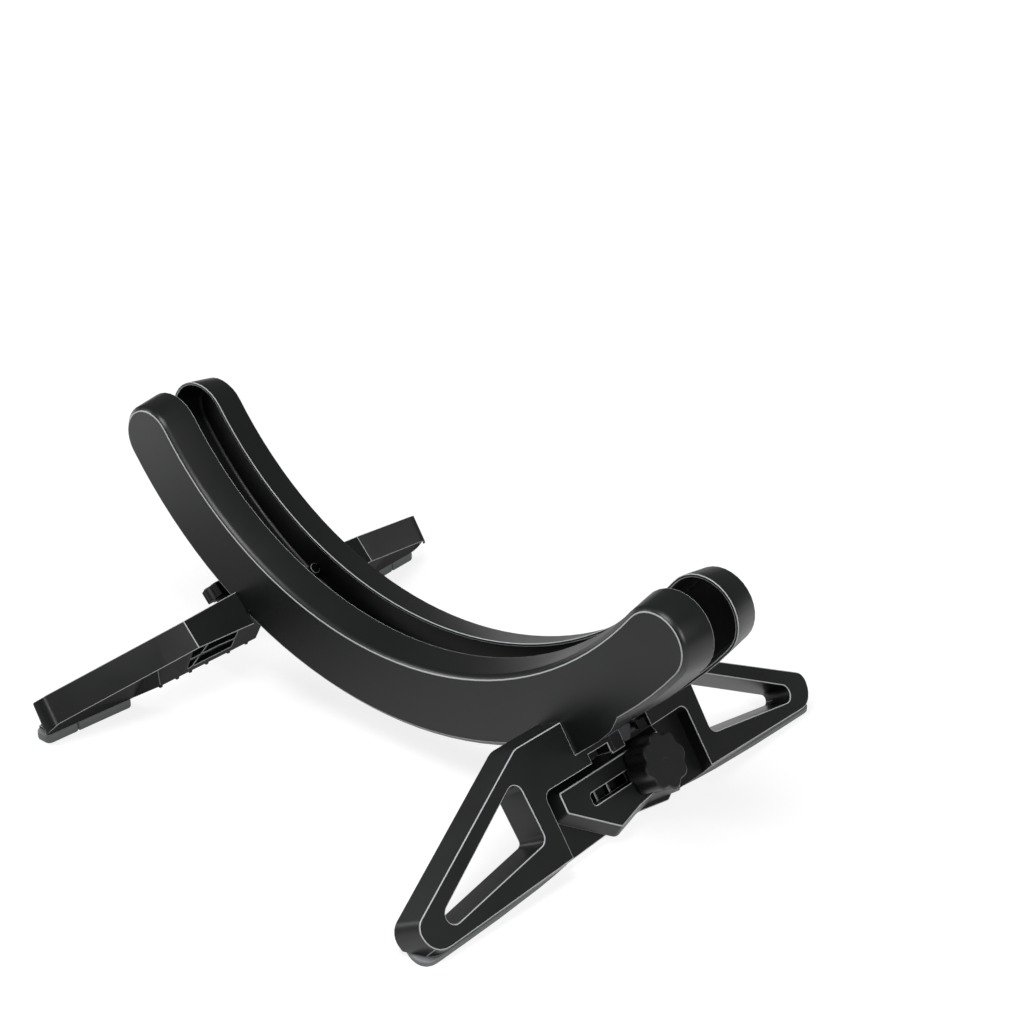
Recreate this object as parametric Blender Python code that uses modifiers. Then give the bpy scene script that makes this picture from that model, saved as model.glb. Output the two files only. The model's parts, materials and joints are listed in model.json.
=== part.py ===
"""Bike parking stand: two mirrored rails with a gap between them, front wings, rear legs and two clamps.

Metres. +X is towards the front wings, +Y is to the left, +Z is up, and the floor is Z = 0.
The right half (-Y) slides sideways on the left half and is held by a front and a rear clamp knob.
"""
import math

import bmesh
import bpy
from mathutils import Matrix, Vector

# Clearances
GAP = 0.0003
SLIDE_GAP = 0.0003
PASS_GAP = 0.0006
OFF_FLUSH = 0.0001
CUT_OVER = 0.002

# Rails: two shells, open towards the gap between them, with the outline of a banana
RAIL_UPPER_R = 0.361
RAIL_LOWER_R = 0.4315
RAIL_FLOOR_GAP = 0.0365
RAIL_CENTRE_Z = RAIL_LOWER_R + RAIL_FLOOR_GAP
RAIL_HALF_SPAN = math.radians(53.4)
WHEEL_GAP = 0.034
RAIL_DEPTH = 0.0343
RAIL_WALL = 0.003
RAIL_CHAMFER = 0.0045
RAIL_DRAFT = 0.0042
RAIL_ARC_STEPS = 40
RAIL_END_STEPS = 16

# Front wings: sloping panels on a frame whose X runs down the slope and whose Z is the panel's normal
FRONT_TOP_Z = 0.1126
FRONT_TOP_INSET = 0.018337
FRONT_TOP_X = math.sqrt((RAIL_LOWER_R - FRONT_TOP_INSET) ** 2 - (RAIL_CENTRE_Z - FRONT_TOP_Z) ** 2)
FRONT_SLOPE = math.radians(56.42)
WING_FACE = 0.0124
WING_TILT = 0.0646
WING_DEPTH = 0.031
WING_WALL = 0.003
WING_DRAFT = 0.12
WING_FRONT_DRAFT = 0.32
WING_OUTER_Y = 0.279
WING_TIP_LENGTH = 0.117
WING_TIP_WIDTH = 0.030
WING_TIP_FRONT_R = 0.021
WING_TIP_REAR_R = 0.013
WING_SHOULDER_Y = 0.1103
WING_FRONT_LENGTH = 0.1096
WINDOW_REAR = (0.0208, 0.1222)
WINDOW_FRONT = (0.0846, 0.1198)
WINDOW_TIP = (0.1107, 0.290)
WINDOW_CORNER_R = 0.009
RECESS_LENGTH = 0.047
RECESS_SIDE_Y = 0.101
RECESS_CORNER_R = 0.008
CUTOUT_LENGTH = 0.032
PLATFORM_START = 0.006
PLATFORM_INNER_Y = 0.0235
PLATFORM_THICK = 0.004
NOTCH_DEPTH = 0.009
NOTCH_FAR_Y = 0.0383
NOTCH_NEAR_Y = 0.0133
TAB_OVERHANG = 0.006
TAB_LENGTH = 0.049
STRIP_INNER_Y = 0.008
LEFT_STRIP_Y = 0.048
WING_INNER_Y = WHEEL_GAP / 2 + RAIL_DEPTH + PASS_GAP

# Front tongues: the left one lies on top, the right one carries the bolt
UPPER_TOP = 0.0
UPPER_BOTTOM = -0.0127
UPPER_FLOOR = -0.009
UPPER_DRAFT = 0.008
UPPER_END_Y = 0.080
UPPER_STEP_Y = 0.060
UPPER_SHOULDER = 0.075
UPPER_POINT = 0.112
UPPER_WAIST = (0.105, -0.002)
UPPER_WAIST_LEFT = (0.1025, -0.024)
UPPER_ROOT = 0.108
LOWER_THICK = 0.008
LOWER_END_Y = 0.062
TONGUE_REAR = 0.056
SHELF_REAR = 0.0283
FRONT_BOLT_LENGTH = 0.077
FRONT_BOLT_Y = 0.028
SLOT_WIDTH = 0.012
SLOT_LEFT_Y = 0.058
SLOT_RIGHT_Y = 0.048
POCKET_RIB = 0.0024
POCKET_FLOOR = 0.002
POCKET_RIB_YS = (-0.030, -0.012)

# Gusset: the foot of each rail that stands in its wing's cut-out
GUSSET_BOTTOM = -0.012
GUSSET_START = -0.0007
GUSSET_REACH = 0.0723
GUSSET_STEPS = 5
GUSSET_INNER_Y = 0.022
PLATFORM_TOP = GUSSET_BOTTOM - GAP - OFF_FLUSH

# Rear legs: a frame whose X runs down the back of the leg and whose Z is the normal of that back
REAR_TOP_Z = 0.0974
REAR_TOP_INSET = 0.009567
REAR_TOP_X = -math.sqrt((RAIL_LOWER_R - REAR_TOP_INSET) ** 2 - (RAIL_CENTRE_Z - REAR_TOP_Z) ** 2)
REAR_SLOPE = math.radians(43.67)
LEG_FACE = 0.0304
LEG_ROOT_FACE = 0.0365
LEG_ROOT_RISE = 0.004
LEG_WALL = 0.003
LEG_LIP = 0.009
LEG_END_Y = 0.265
LEG_NOSE_R = 0.010
LEG_NOSE_STEPS = 6
LEG_CREASE_Y = LEG_END_Y - LEG_NOSE_R
LEG_KNEE_Y = 0.121
LEG_STEP_Y = 0.150
LEG_FOOT_Y = 0.157
LEG_CREASE_BACK = 0.0503
LEG_CREASE_Z = 0.0543
LEG_CREASE_SLOPE = math.radians(57.2)
LEG_WEB_BACK = 0.0063
LEG_WEB_Z = 0.0343
LEG_FOOT_WEB_BACK = 0.0421
LEG_END_WEB_BACK = 0.0490
LEG_HEEL_BACK = 0.0326
LEG_HEEL_Z = 0.0663
LEG_FOOT_HEEL_BACK = 0.0600
LEG_FOOT_HEEL_Z = 0.032
LEG_END_HEEL_BACK = 0.0618
LEG_END_HEEL_Z = 0.018
LEG_SOLE_SET_BACK = 0.0015
LEG_RIB = 0.0025
LEG_OPEN_REACH = 0.012
LEG_RIB_YS = (0.059, 0.0884, 0.1102, 0.1274, 0.145, 0.185, 0.2226)
LEG_POCKET_TOP = 0.017
LEG_POCKET_MIDDLE = 0.030
LEG_POCKET_FOOT = 0.0425
LEG_POCKET_RIB = 0.0024
LEG_POCKET_DEPTH = 0.0055
LEG_POCKET_MARGIN = 0.0045
LEG_POCKET_START_Y = 0.058
LEG_POCKET_END_Y = 0.1165
LEG_DIAGONAL_Y = 0.095
LEG_DIAGONAL_RUN = 0.6
SADDLE_TOP = 0.004
SADDLE_BOTTOM = 0.034
SADDLE_FRONT = 0.024
SADDLE_INNER_Y = 0.022
SADDLE_RIB_Y = 0.0315
REAR_TONGUE_TOP = SADDLE_BOTTOM + 4 * GAP
REAR_TONGUE_BOTTOM = 0.0598
REAR_TONGUE_THICK = 0.0032
REAR_TONGUE_RIGHT_Y = 0.085
REAR_TONGUE_LEFT_Y = 0.038
REAR_TONGUE_ROOT_Y = 0.076
REAR_TONGUE_HOLD_Y = 0.100
REAR_BOLT_DOWN = (REAR_TONGUE_TOP + REAR_TONGUE_BOTTOM) / 2
REAR_BOLT_Y = 0.029
REAR_SLOT_NEAR_Y = 0.011
REAR_SLOT_FAR_Y = 0.075
REAR_SLOT_WIDTH = 0.0092

# Clamps
BOLT_R = 0.004
BOLT_HEAD_R = 0.0075
BOLT_HEAD_H = 0.004
WASHER_THICK = 0.0016
WASHER_R = 0.012
INSERT_R = 0.0062
KNOB_LOBES = 8
KNOB_LOBE_DEPTH = 0.0034
KNOB_SCALLOP_POWER = 1.5
FRONT_KNOB_R = 0.0275
FRONT_KNOB_HEIGHT = 0.026
REAR_KNOB_R = 0.018
REAR_KNOB_HEIGHT = 0.014
REAR_HUB_HEIGHT = 0.0068
HUB_R = 0.0095
KNOB_CROWN = 0.0012
KNOB_FOOT = 0.0010

# Width stop: a block behind the tab and two bent clips, each as its start and end down the slope,
# place and height
STOP_BLOCK_CORNERS = ((0.034, 0.0105), (0.0325, 0.018, 0.001), (0.034, 0.030, 0.002), (0.0478, 0.021, 0.002),
                      (0.0470, 0.014))
STOP_BLOCK_TOP = 0.005
STOP_STRIP = 0.0012
STOP_HALF_WIDTH = 0.006
STOP_LIP = 0.002
RIGHT_CLIP = (0.0395, 0.0465, -0.027, 0.003)
LEFT_CLIP = (0.036, 0.048, 0.0385, 0.0085)

# Screws
SCREW_R = 0.002
SCREW_HEAD_R = 0.004
SCREW_HEAD_H = 0.0024
SCREW_GRIP = 0.011
SCREW_YS = (0.030, 0.044)
WING_SCREW_LENGTH = 0.0235
LEG_SCREW_OFFSET = -0.012

# Rubber pads
FRONT_PAD_HEIGHT = 0.005
FRONT_PAD_WIDTH = 0.016
REAR_PAD_HEIGHT = 0.010
REAR_PAD_WIDTH = 0.022
REAR_PAD_OUTER_LENGTH = 0.043
REAR_PAD_JOINT_Y = LEG_END_Y - REAR_PAD_OUTER_LENGTH

# Arc fineness
CORNER_STEP = math.radians(15)
ROUND_SIDES = 32


def front_frame():
    """Frame of the wings: X down the slope, Y to the left, Z out of the panel."""
    down = Vector((math.cos(FRONT_SLOPE), 0, -math.sin(FRONT_SLOPE)))
    out = Vector((math.sin(FRONT_SLOPE), 0, math.cos(FRONT_SLOPE)))
    return axes_matrix(down, out, Vector((FRONT_TOP_X, 0, FRONT_TOP_Z)))


def rear_frame():
    """Frame of the rear tongues: X down the back of the legs, Y to the right, Z to the rear and up."""
    down = Vector((-math.cos(REAR_SLOPE), 0, -math.sin(REAR_SLOPE)))
    out = Vector((-math.sin(REAR_SLOPE), 0, math.cos(REAR_SLOPE)))
    return axes_matrix(down, out, Vector((REAR_TOP_X, 0, REAR_TOP_Z)))


def axes_matrix(x_axis, z_axis, origin):
    """Placement with the given X and Z axes and origin."""
    y_axis = z_axis.cross(x_axis)
    columns = Matrix((x_axis, y_axis, z_axis)).transposed()
    return Matrix.Translation(origin) @ columns.to_4x4()


def clear_scene():
    """Remove every object, so that the script starts from nothing."""
    for obj in list(bpy.data.objects):
        bpy.data.objects.remove(obj, do_unlink=True)


def new_collection(name):
    """A collection linked to the scene."""
    collection = bpy.data.collections.new(name)
    bpy.context.scene.collection.children.link(collection)
    return collection


def mesh_object(name, bm, placement=None):
    """Close a bmesh into an object of the parts collection."""
    bmesh.ops.recalc_face_normals(bm, faces=bm.faces[:])
    if placement is not None:
        bm.transform(placement)
    mesh = bpy.data.meshes.new(name)
    bm.to_mesh(mesh)
    bm.free()
    obj = bpy.data.objects.new(name, mesh)
    PARTS.objects.link(obj)
    return obj


def signed_area(points):
    """Area of an outline, positive when it runs anticlockwise."""
    total = 0.0
    for (ax, ay), (bx, by) in zip(points, points[1:] + points[:1]):
        total += ax * by - bx * ay
    return total / 2


def rounded(corners):
    """Outline of (x, y) or (x, y, radius) corners, with an arc at each corner that has a radius."""
    points = []
    count = len(corners)
    for index, corner in enumerate(corners):
        here = Vector(corner[:2])
        radius = corner[2] if len(corner) > 2 else 0.0
        if radius <= 0:
            points.append((here.x, here.y))
            continue
        back = (Vector(corners[index - 1][:2]) - here).normalized()
        ahead = (Vector(corners[(index + 1) % count][:2]) - here).normalized()
        half = back.angle(ahead) / 2
        centre = here + (back + ahead).normalized() * (radius / math.sin(half))
        start = here + back * (radius / math.tan(half)) - centre
        end = here + ahead * (radius / math.tan(half)) - centre
        turn = start.angle_signed(end)
        steps = max(2, math.ceil(abs(turn) / CORNER_STEP))
        for step in range(steps + 1):
            spoke = Matrix.Rotation(-turn * step / steps, 2) @ start
            points.append((centre.x + spoke.x, centre.y + spoke.y))
    if signed_area(points) < 0:
        points.reverse()
    return points


def offset_outline(points, distance):
    """Anticlockwise outline moved outwards by a distance, each corner mitred."""
    moved = []
    count = len(points)
    for index in range(count):
        before = Vector(points[index - 1])
        here = Vector(points[index])
        after = Vector(points[(index + 1) % count])
        first = (here - before).normalized()
        second = (after - here).normalized()
        normal_a = Vector((first.y, -first.x))
        normal_b = Vector((second.y, -second.x))
        shift = (normal_a + normal_b) * (distance / (1 + normal_a.dot(normal_b)))
        moved.append((here.x + shift.x, here.y + shift.y))
    return moved


def loft(name, rings):
    """Closed solid through rings of as many points each, with flat end faces."""
    bm = bmesh.new()
    loops = [[bm.verts.new(point) for point in ring] for ring in rings]
    count = len(loops[0])
    for lower, upper in zip(loops, loops[1:]):
        for index in range(count):
            after = (index + 1) % count
            bm.faces.new((lower[index], lower[after], upper[after], upper[index]))
    bm.faces.new(loops[0])
    bm.faces.new(loops[-1])
    bmesh.ops.recalc_face_normals(bm, faces=bm.faces[:])
    bmesh.ops.triangulate(bm, faces=[face for face in bm.faces if len(face.verts) == 4])
    return mesh_object(name, bm)


def plate(name, outline, low, high, placement=None):
    """Flat outline between two levels of a frame, from a filled 2D curve."""
    curve = bpy.data.curves.new(name, "CURVE")
    curve.dimensions = "2D"
    curve.fill_mode = "BOTH"
    curve.extrude = (high - low) / 2
    spline = curve.splines.new("POLY")
    spline.points.add(len(outline) - 1)
    for point, (x, y) in zip(spline.points, outline):
        point.co = (x, y, 0, 1)
    spline.use_cyclic_u = True
    source = bpy.data.objects.new(name, curve)
    PARTS.objects.link(source)
    bpy.context.view_layer.update()
    evaluated = source.evaluated_get(bpy.context.evaluated_depsgraph_get())
    bm = bmesh.new()
    mesh = bpy.data.meshes.new_from_object(evaluated)
    bm.from_mesh(mesh)
    bpy.data.meshes.remove(mesh)
    bpy.data.objects.remove(source, do_unlink=True)
    bmesh.ops.remove_doubles(bm, verts=bm.verts[:], dist=0.00001)
    bm.transform(Matrix.Translation((0, 0, (low + high) / 2)))
    return mesh_object(name, bm, placement)


def drafted(name, outline, low_outline, low, high, placement=None):
    """Solid between an upper outline and a wider or narrower lower one."""
    upper = [Vector((x, y, high)) for x, y in outline]
    lower = [Vector((x, y, low)) for x, y in low_outline]
    obj = loft(name, [lower, upper])
    if placement is not None:
        obj.data.transform(placement)
    return obj


def box(name, corner_a, corner_b, placement=None):
    """Box between two corners of a frame."""
    low = Vector(map(min, corner_a, corner_b))
    high = Vector(map(max, corner_a, corner_b))
    bm = bmesh.new()
    bmesh.ops.create_cube(bm, size=1.0)
    bm.transform(Matrix.Translation((low + high) / 2) @ Matrix.Diagonal((*(high - low), 1)))
    return mesh_object(name, bm, placement)


def rod(name, radius, low, high, placement, top_radius=None, sides=ROUND_SIDES):
    """Round rod or cone along Z of a frame."""
    bm = bmesh.new()
    bmesh.ops.create_cone(bm, cap_ends=True, segments=sides, radius1=radius,
                          radius2=radius if top_radius is None else top_radius, depth=high - low)
    bm.transform(Matrix.Translation((0, 0, (low + high) / 2)))
    return mesh_object(name, bm, placement)


def bake(obj):
    """Put an object's evaluated mesh in place of its modifiers."""
    bpy.context.view_layer.update()
    evaluated = obj.evaluated_get(bpy.context.evaluated_depsgraph_get())
    mesh = bpy.data.meshes.new_from_object(evaluated)
    obj.modifiers.clear()
    obj.data = mesh
    return obj


def combine(target, tool, operation):
    """Exact Boolean of a target with a tool, which goes to the cutters."""
    modifier = target.modifiers.new(operation.lower(), "BOOLEAN")
    modifier.operation = operation
    modifier.solver = "EXACT"
    modifier.object = tool
    bake(target)
    if tool.name in PARTS.objects:
        PARTS.objects.unlink(tool)
        CUTTERS.objects.link(tool)
    tool.hide_render = True
    tool.display_type = "WIRE"
    return target


def cut(target, *tools):
    """Take tools away from a target."""
    for tool in tools:
        combine(target, tool, "DIFFERENCE")
    return target


def join(target, *tools):
    """Weld tools to a target."""
    for tool in tools:
        combine(target, tool, "UNION")
    return target


def mirrored_mesh(obj, name):
    """Copy of an object on the other side of the middle plane."""
    bm = bmesh.new()
    bm.from_mesh(obj.data)
    bm.transform(Matrix.Scale(-1, 4, (0, 1, 0)))
    bmesh.ops.reverse_faces(bm, faces=bm.faces[:])
    return mesh_object(name, bm)


def mirror_in_place(obj):
    """Move an object to the other side of the middle plane."""
    obj.data.transform(Matrix.Scale(-1, 4, (0, 1, 0)))
    obj.data.flip_normals()
    return obj


def tilt(obj):
    """Let a wing's faces fall away from the middle."""
    for vertex in obj.data.vertices:
        vertex.co.z -= WING_TILT * abs(vertex.co.y)
    return obj


def rail_ring(grow, y):
    """Rail outline, moved outwards by grow, in the plane at y."""
    centre = Vector((0, 0, RAIL_CENTRE_Z))
    middle_r = (RAIL_UPPER_R + RAIL_LOWER_R) / 2
    half_height = (RAIL_LOWER_R - RAIL_UPPER_R) / 2
    points = []

    def add(angle, radius, end_sign=0, end_angle=0.0):
        spoke = Vector((math.sin(angle), 0, -math.cos(angle)))
        along = Vector((math.cos(angle), 0, math.sin(angle)))
        point = centre + spoke * radius
        if end_sign:
            reach = half_height + grow
            swing = spoke * math.cos(end_angle) + along * (end_sign * math.sin(end_angle))
            point = centre + spoke * middle_r + swing * reach
        points.append(Vector((point.x, y, point.z)))

    for step in range(RAIL_ARC_STEPS + 1):
        add(RAIL_HALF_SPAN * (2 * step / RAIL_ARC_STEPS - 1), RAIL_LOWER_R + grow)
    for step in range(1, RAIL_END_STEPS):
        add(RAIL_HALF_SPAN, 0, 1, math.pi * step / RAIL_END_STEPS)
    for step in range(RAIL_ARC_STEPS + 1):
        add(RAIL_HALF_SPAN * (1 - 2 * step / RAIL_ARC_STEPS), RAIL_UPPER_R - grow)
    for step in range(1, RAIL_END_STEPS):
        add(-RAIL_HALF_SPAN, 0, -1, math.pi * (1 - step / RAIL_END_STEPS))
    return points


def rail_levels():
    """The rail's rings as (outward growth, y) on the right half, from its flat face to its open edge."""
    outer = -(WHEEL_GAP / 2 + RAIL_DEPTH)
    return [(-RAIL_CHAMFER, outer), (0.0, outer + RAIL_CHAMFER), (RAIL_DRAFT, -WHEEL_GAP / 2)]


def rail_block(name, grow):
    """The rail's whole form without its hollow, grown all round."""
    levels = rail_levels()
    rings = [rail_ring(levels[0][0] + grow, levels[0][1] - grow),
             rail_ring(levels[1][0] + grow, levels[1][1]),
             rail_ring(levels[2][0] + grow, levels[2][1] + grow)]
    return loft(name, rings)


def gusset(name, grow):
    """Foot under the rail's front, which stands in the wing's cut-out."""
    inside_r = RAIL_LOWER_R - RAIL_CHAMFER - RAIL_WALL / 2
    down = FRONT.inverted()
    arc = []
    for step in range(GUSSET_STEPS + 1):
        x = FRONT_TOP_X + GUSSET_START + (GUSSET_REACH - GUSSET_START) * step / GUSSET_STEPS
        point = down @ Vector((x, 0, RAIL_CENTRE_Z - math.sqrt(inside_r ** 2 - x ** 2)))
        arc.append((point.x, point.z))
    bottom = GUSSET_BOTTOM
    length = CUTOUT_LENGTH - GAP - OFF_FLUSH
    front = [(0.0205, 0.064), (0.0262, 0.045), (length, WING_FACE), (length, bottom - grow),
             (arc[0][0], bottom - grow)]
    outline = [(x, z) for x, z in arc + front]
    if signed_area(outline) < 0:
        outline.reverse()
    outline = offset_outline(outline, grow)
    outer = -(WHEEL_GAP / 2 + RAIL_DEPTH) + OFF_FLUSH - grow
    inner = -GUSSET_INNER_Y + grow
    rings = [[FRONT @ Vector((x, y, z)) for x, z in outline] for y in (outer, inner)]
    return loft(name, rings)


def screw_axes():
    """Placements of the right half's screws: Z points into the rail."""
    wing = []
    leg = []
    for y in SCREW_YS:
        wing.append(FRONT @ Matrix.Translation((WING_SCREW_LENGTH, -y, PLATFORM_TOP - PLATFORM_THICK)))
        turn = Matrix.Rotation(-math.pi / 2, 4, "Y")
        leg.append(REAR @ Matrix.Translation((SADDLE_BOTTOM, y, LEG_SCREW_OFFSET)) @ turn)
    return wing, leg


def make_rail(name):
    """Right rail: a drafted shell with its front foot and its screw bosses."""
    bm = bmesh.new()
    loops = [[bm.verts.new(point) for point in rail_ring(grow, y)] for grow, y in rail_levels()]
    bm.faces.new(loops[0])
    count = len(loops[0])
    for lower, upper in zip(loops, loops[1:]):
        for index in range(count):
            after = (index + 1) % count
            bm.faces.new((lower[index], lower[after], upper[after], upper[index]))
    rail = mesh_object(name, bm)
    shell = rail.modifiers.new("wall", "SOLIDIFY")
    shell.thickness = RAIL_WALL
    shell.offset = -1
    shell.use_even_offset = True
    bake(rail)
    join(rail, gusset("rail_gusset", 0.0))
    wing_axes, leg_axes = screw_axes()
    for index, axis in enumerate(leg_axes):
        boss = rod(f"rail_boss_{index}", SCREW_R + 0.0035, SADDLE_BOTTOM - SADDLE_TOP - 0.008,
                   SADDLE_BOTTOM + SCREW_GRIP, axis, sides=20)
        combine(boss, rail_block(f"boss_trim_{index}", -RAIL_WALL / 2), "INTERSECT")
        join(rail, boss)
    for index, axis in enumerate(wing_axes + leg_axes):
        depth = (PLATFORM_THICK + SCREW_GRIP if index < len(wing_axes)
                 else SADDLE_BOTTOM + SCREW_GRIP - CUT_OVER)
        cut(rail, rod(f"rail_screw_hole_{index}", SCREW_R + GAP, -CUT_OVER, depth, axis, sides=16))
    return rail


def wing_outline(strip_end):
    """Outline of the right wing on the panel, with the strip that runs in front of the rail's foot."""
    return rounded([
        (0, -WING_INNER_Y), (CUTOUT_LENGTH, -WING_INNER_Y), (CUTOUT_LENGTH, -strip_end),
        (RECESS_LENGTH + WING_WALL, -strip_end), (RECESS_LENGTH + WING_WALL, -RECESS_SIDE_Y + WING_WALL),
        (WING_FRONT_LENGTH, -RECESS_SIDE_Y + WING_WALL),
        (WING_TIP_LENGTH, -WING_OUTER_Y + 0.002, WING_TIP_FRONT_R),
        (WING_TIP_LENGTH - WING_TIP_WIDTH, -WING_OUTER_Y, WING_TIP_REAR_R),
        (0, -WING_SHOULDER_Y, 0.014)])


def window_outline():
    """Outline of the wing's three-cornered window."""
    return rounded([(WINDOW_REAR[0], -WINDOW_REAR[1], WINDOW_CORNER_R),
                    (WINDOW_FRONT[0], -WINDOW_FRONT[1], WINDOW_CORNER_R),
                    (WINDOW_TIP[0], -WINDOW_TIP[1], WINDOW_CORNER_R)])


def lower_outline(outline, depth):
    """Outline of a wing wall at a depth, with its draft and the steeper draft of the front edge."""
    moved = []
    for (x, y), (wide_x, wide_y) in zip(outline, offset_outline(outline, WING_DRAFT * depth)):
        if x > WING_FRONT_LENGTH - 0.001:
            wide_x += (WING_FRONT_DRAFT - WING_DRAFT) * depth
        moved.append((wide_x, wide_y))
    return moved


def wing_shell(name, strip_end):
    """Hollow wing with its window, before the recess is cut."""
    outline = wing_outline(strip_end)
    top = WING_FACE
    bottom = WING_FACE - WING_DEPTH
    shell = tilt(drafted(name, outline, lower_outline(outline, WING_DEPTH), bottom, top))
    inner = offset_outline(outline, -WING_WALL)
    deep = WING_DEPTH + 0.004
    hollow = tilt(drafted("wing_hollow", inner, offset_outline(lower_outline(outline, deep), -WING_WALL),
                          top - deep, top - WING_WALL))
    window = window_outline()
    wall = offset_outline(window, WING_WALL)
    narrow = offset_outline(window, -WING_DRAFT * deep)
    frame = tilt(drafted("window_wall", wall, offset_outline(narrow, WING_WALL), top - deep - 0.002,
                         top + 0.001))
    keep = box("recess_keep", (RECESS_LENGTH - WING_WALL, -RECESS_SIDE_Y - WING_WALL, -0.1), (0.2, 0.1, 0.1))
    strip = box("strip_keep", (CUTOUT_LENGTH - WING_WALL, -WING_INNER_Y - WING_WALL * 1.1, -0.1),
                (0.2, 0.1, 0.1))
    cut(hollow, frame, keep, strip)
    cut(shell, hollow)
    hole = tilt(drafted("window_hole", offset_outline(window, WING_DRAFT * 0.001),
                        offset_outline(window, -WING_DRAFT * (deep + 0.002)), top - deep - 0.003,
                        top + 0.001))
    cut(shell, hole)
    return shell


def recess_cutter(floor):
    """Space of the recess above its floor."""
    outline = rounded([(RECESS_LENGTH, -RECESS_SIDE_Y, RECESS_CORNER_R), (RECESS_LENGTH, 0.2),
                       (0.2, 0.2), (0.2, -RECESS_SIDE_Y)])
    return plate("recess_space", outline, floor, 0.05)


def front_edge(level):
    """How far down the slope the front edge lies at a level of the frame."""
    return WING_FRONT_LENGTH + WING_FRONT_DRAFT * (WING_FACE - WING_TILT * RECESS_SIDE_Y - level)


def right_tongue():
    """Lower tongue with its ribbed pockets and the bolt's hole."""
    top = UPPER_BOTTOM - SLIDE_GAP
    bottom = top - LOWER_THICK
    front = front_edge(top)
    outline = rounded([
        (RECESS_LENGTH, -RECESS_SIDE_Y - WING_WALL / 2), (front, -RECESS_SIDE_Y - WING_WALL / 2),
        (front - 0.0036, 0.006, 0.010), (front + 0.0034, 0.050, 0.006), (front - 0.0036, LOWER_END_Y, 0.002),
        (TONGUE_REAR + 0.004, LOWER_END_Y, 0.004), (TONGUE_REAR, 0.050, 0.004), (TONGUE_REAR, 0.026, 0.003),
        (TONGUE_REAR - 0.004, 0.018, 0.003), (TONGUE_REAR - 0.004, -STRIP_INNER_Y),
        (RECESS_LENGTH, -STRIP_INNER_Y)])
    tongue = plate("right_tongue", outline, bottom, top)
    half = SLOT_WIDTH / 2
    edges = [-SLOT_RIGHT_Y]
    for rib in POCKET_RIB_YS:
        edges += [rib - POCKET_RIB / 2, rib + POCKET_RIB / 2]
    edges.append(FRONT_BOLT_Y - 0.016)
    for index in range(0, len(edges), 2):
        pocket = box(f"pocket_{index}", (FRONT_BOLT_LENGTH - half, edges[index], bottom + POCKET_FLOOR),
                     (FRONT_BOLT_LENGTH + half, edges[index + 1], top + 0.001))
        cut(tongue, pocket)
    axis = Matrix.Translation((FRONT_BOLT_LENGTH, FRONT_BOLT_Y, 0))
    cut(tongue, rod("front_bolt_hole", BOLT_R + GAP, bottom - CUT_OVER, top + CUT_OVER, axis))
    return tongue


def left_tongue():
    """Upper tongue with its slot, drawn for the right side and mirrored later."""
    outline = rounded([
        (TONGUE_REAR, -UPPER_STEP_Y), (TONGUE_REAR, UPPER_END_Y, 0.002), (UPPER_SHOULDER, UPPER_END_Y, 0.003),
        (UPPER_POINT, FRONT_BOLT_Y, 0.004), (*UPPER_WAIST, 0.020), (*UPPER_WAIST_LEFT, 0.012),
        (UPPER_ROOT, -UPPER_STEP_Y)])
    tongue = drafted("left_tongue", outline, offset_outline(outline, UPPER_DRAFT), UPPER_BOTTOM, UPPER_TOP)
    half = SLOT_WIDTH / 2
    slot = rounded([(FRONT_BOLT_LENGTH - half, -SLOT_LEFT_Y, half * 0.999),
                    (FRONT_BOLT_LENGTH + half, -SLOT_LEFT_Y, half * 0.999),
                    (FRONT_BOLT_LENGTH + half, SLOT_RIGHT_Y, half * 0.6),
                    (FRONT_BOLT_LENGTH - half, SLOT_RIGHT_Y, half * 0.6)])
    return tongue, plate("front_slot", slot, UPPER_BOTTOM - CUT_OVER, UPPER_TOP + CUT_OVER)


def platform():
    """Shelf of the wing that the rail's foot stands on."""
    side = -WING_INNER_Y - WING_WALL / 2
    end = CUTOUT_LENGTH + WING_WALL
    outline = rounded([(PLATFORM_START, side), (end, side), (end, -PLATFORM_INNER_Y),
                       (PLATFORM_START, -PLATFORM_INNER_Y)])
    return plate("platform", outline, PLATFORM_TOP - PLATFORM_THICK, PLATFORM_TOP)


def trim_wing(wing):
    """Clear the rail, its foot, the screws and the pad from a wing."""
    wing.data.transform(FRONT)
    cut(wing, rail_block("rail_clearance", GAP), gusset("gusset_clearance", GAP))
    for index, axis in enumerate(screw_axes()[0]):
        cut(wing, rod(f"wing_screw_hole_{index}", SCREW_R + GAP, -CUT_OVER, PLATFORM_THICK + CUT_OVER, axis,
                      sides=16))
    cut(wing, box("pad_level", (-1, -1, -0.2), (1, 1, FRONT_PAD_HEIGHT + GAP)))
    return wing


def make_right_wing(name):
    """Right wing: shell, recess, notched strip with its tab, and the lower tongue."""
    wing = wing_shell(name, STRIP_INNER_Y)
    floor = UPPER_BOTTOM - SLIDE_GAP
    cut(wing, recess_cutter(floor))
    tab_root = -STRIP_INNER_Y - 0.004
    tab = tilt(plate("tab", rounded([(CUTOUT_LENGTH + OFF_FLUSH, tab_root), (TAB_LENGTH, tab_root),
                                     (TAB_LENGTH, TAB_OVERHANG), (CUTOUT_LENGTH + OFF_FLUSH, TAB_OVERHANG)]),
                     WING_FACE - WING_WALL, WING_FACE - OFF_FLUSH))
    join(wing, platform(), tab)
    notch = box("notch", (RECESS_LENGTH - NOTCH_DEPTH, -NOTCH_FAR_Y, floor), (0.06, -NOTCH_NEAR_Y, 0.05))
    cut(wing, notch)
    join(wing, right_tongue())
    return trim_wing(wing)


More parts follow.
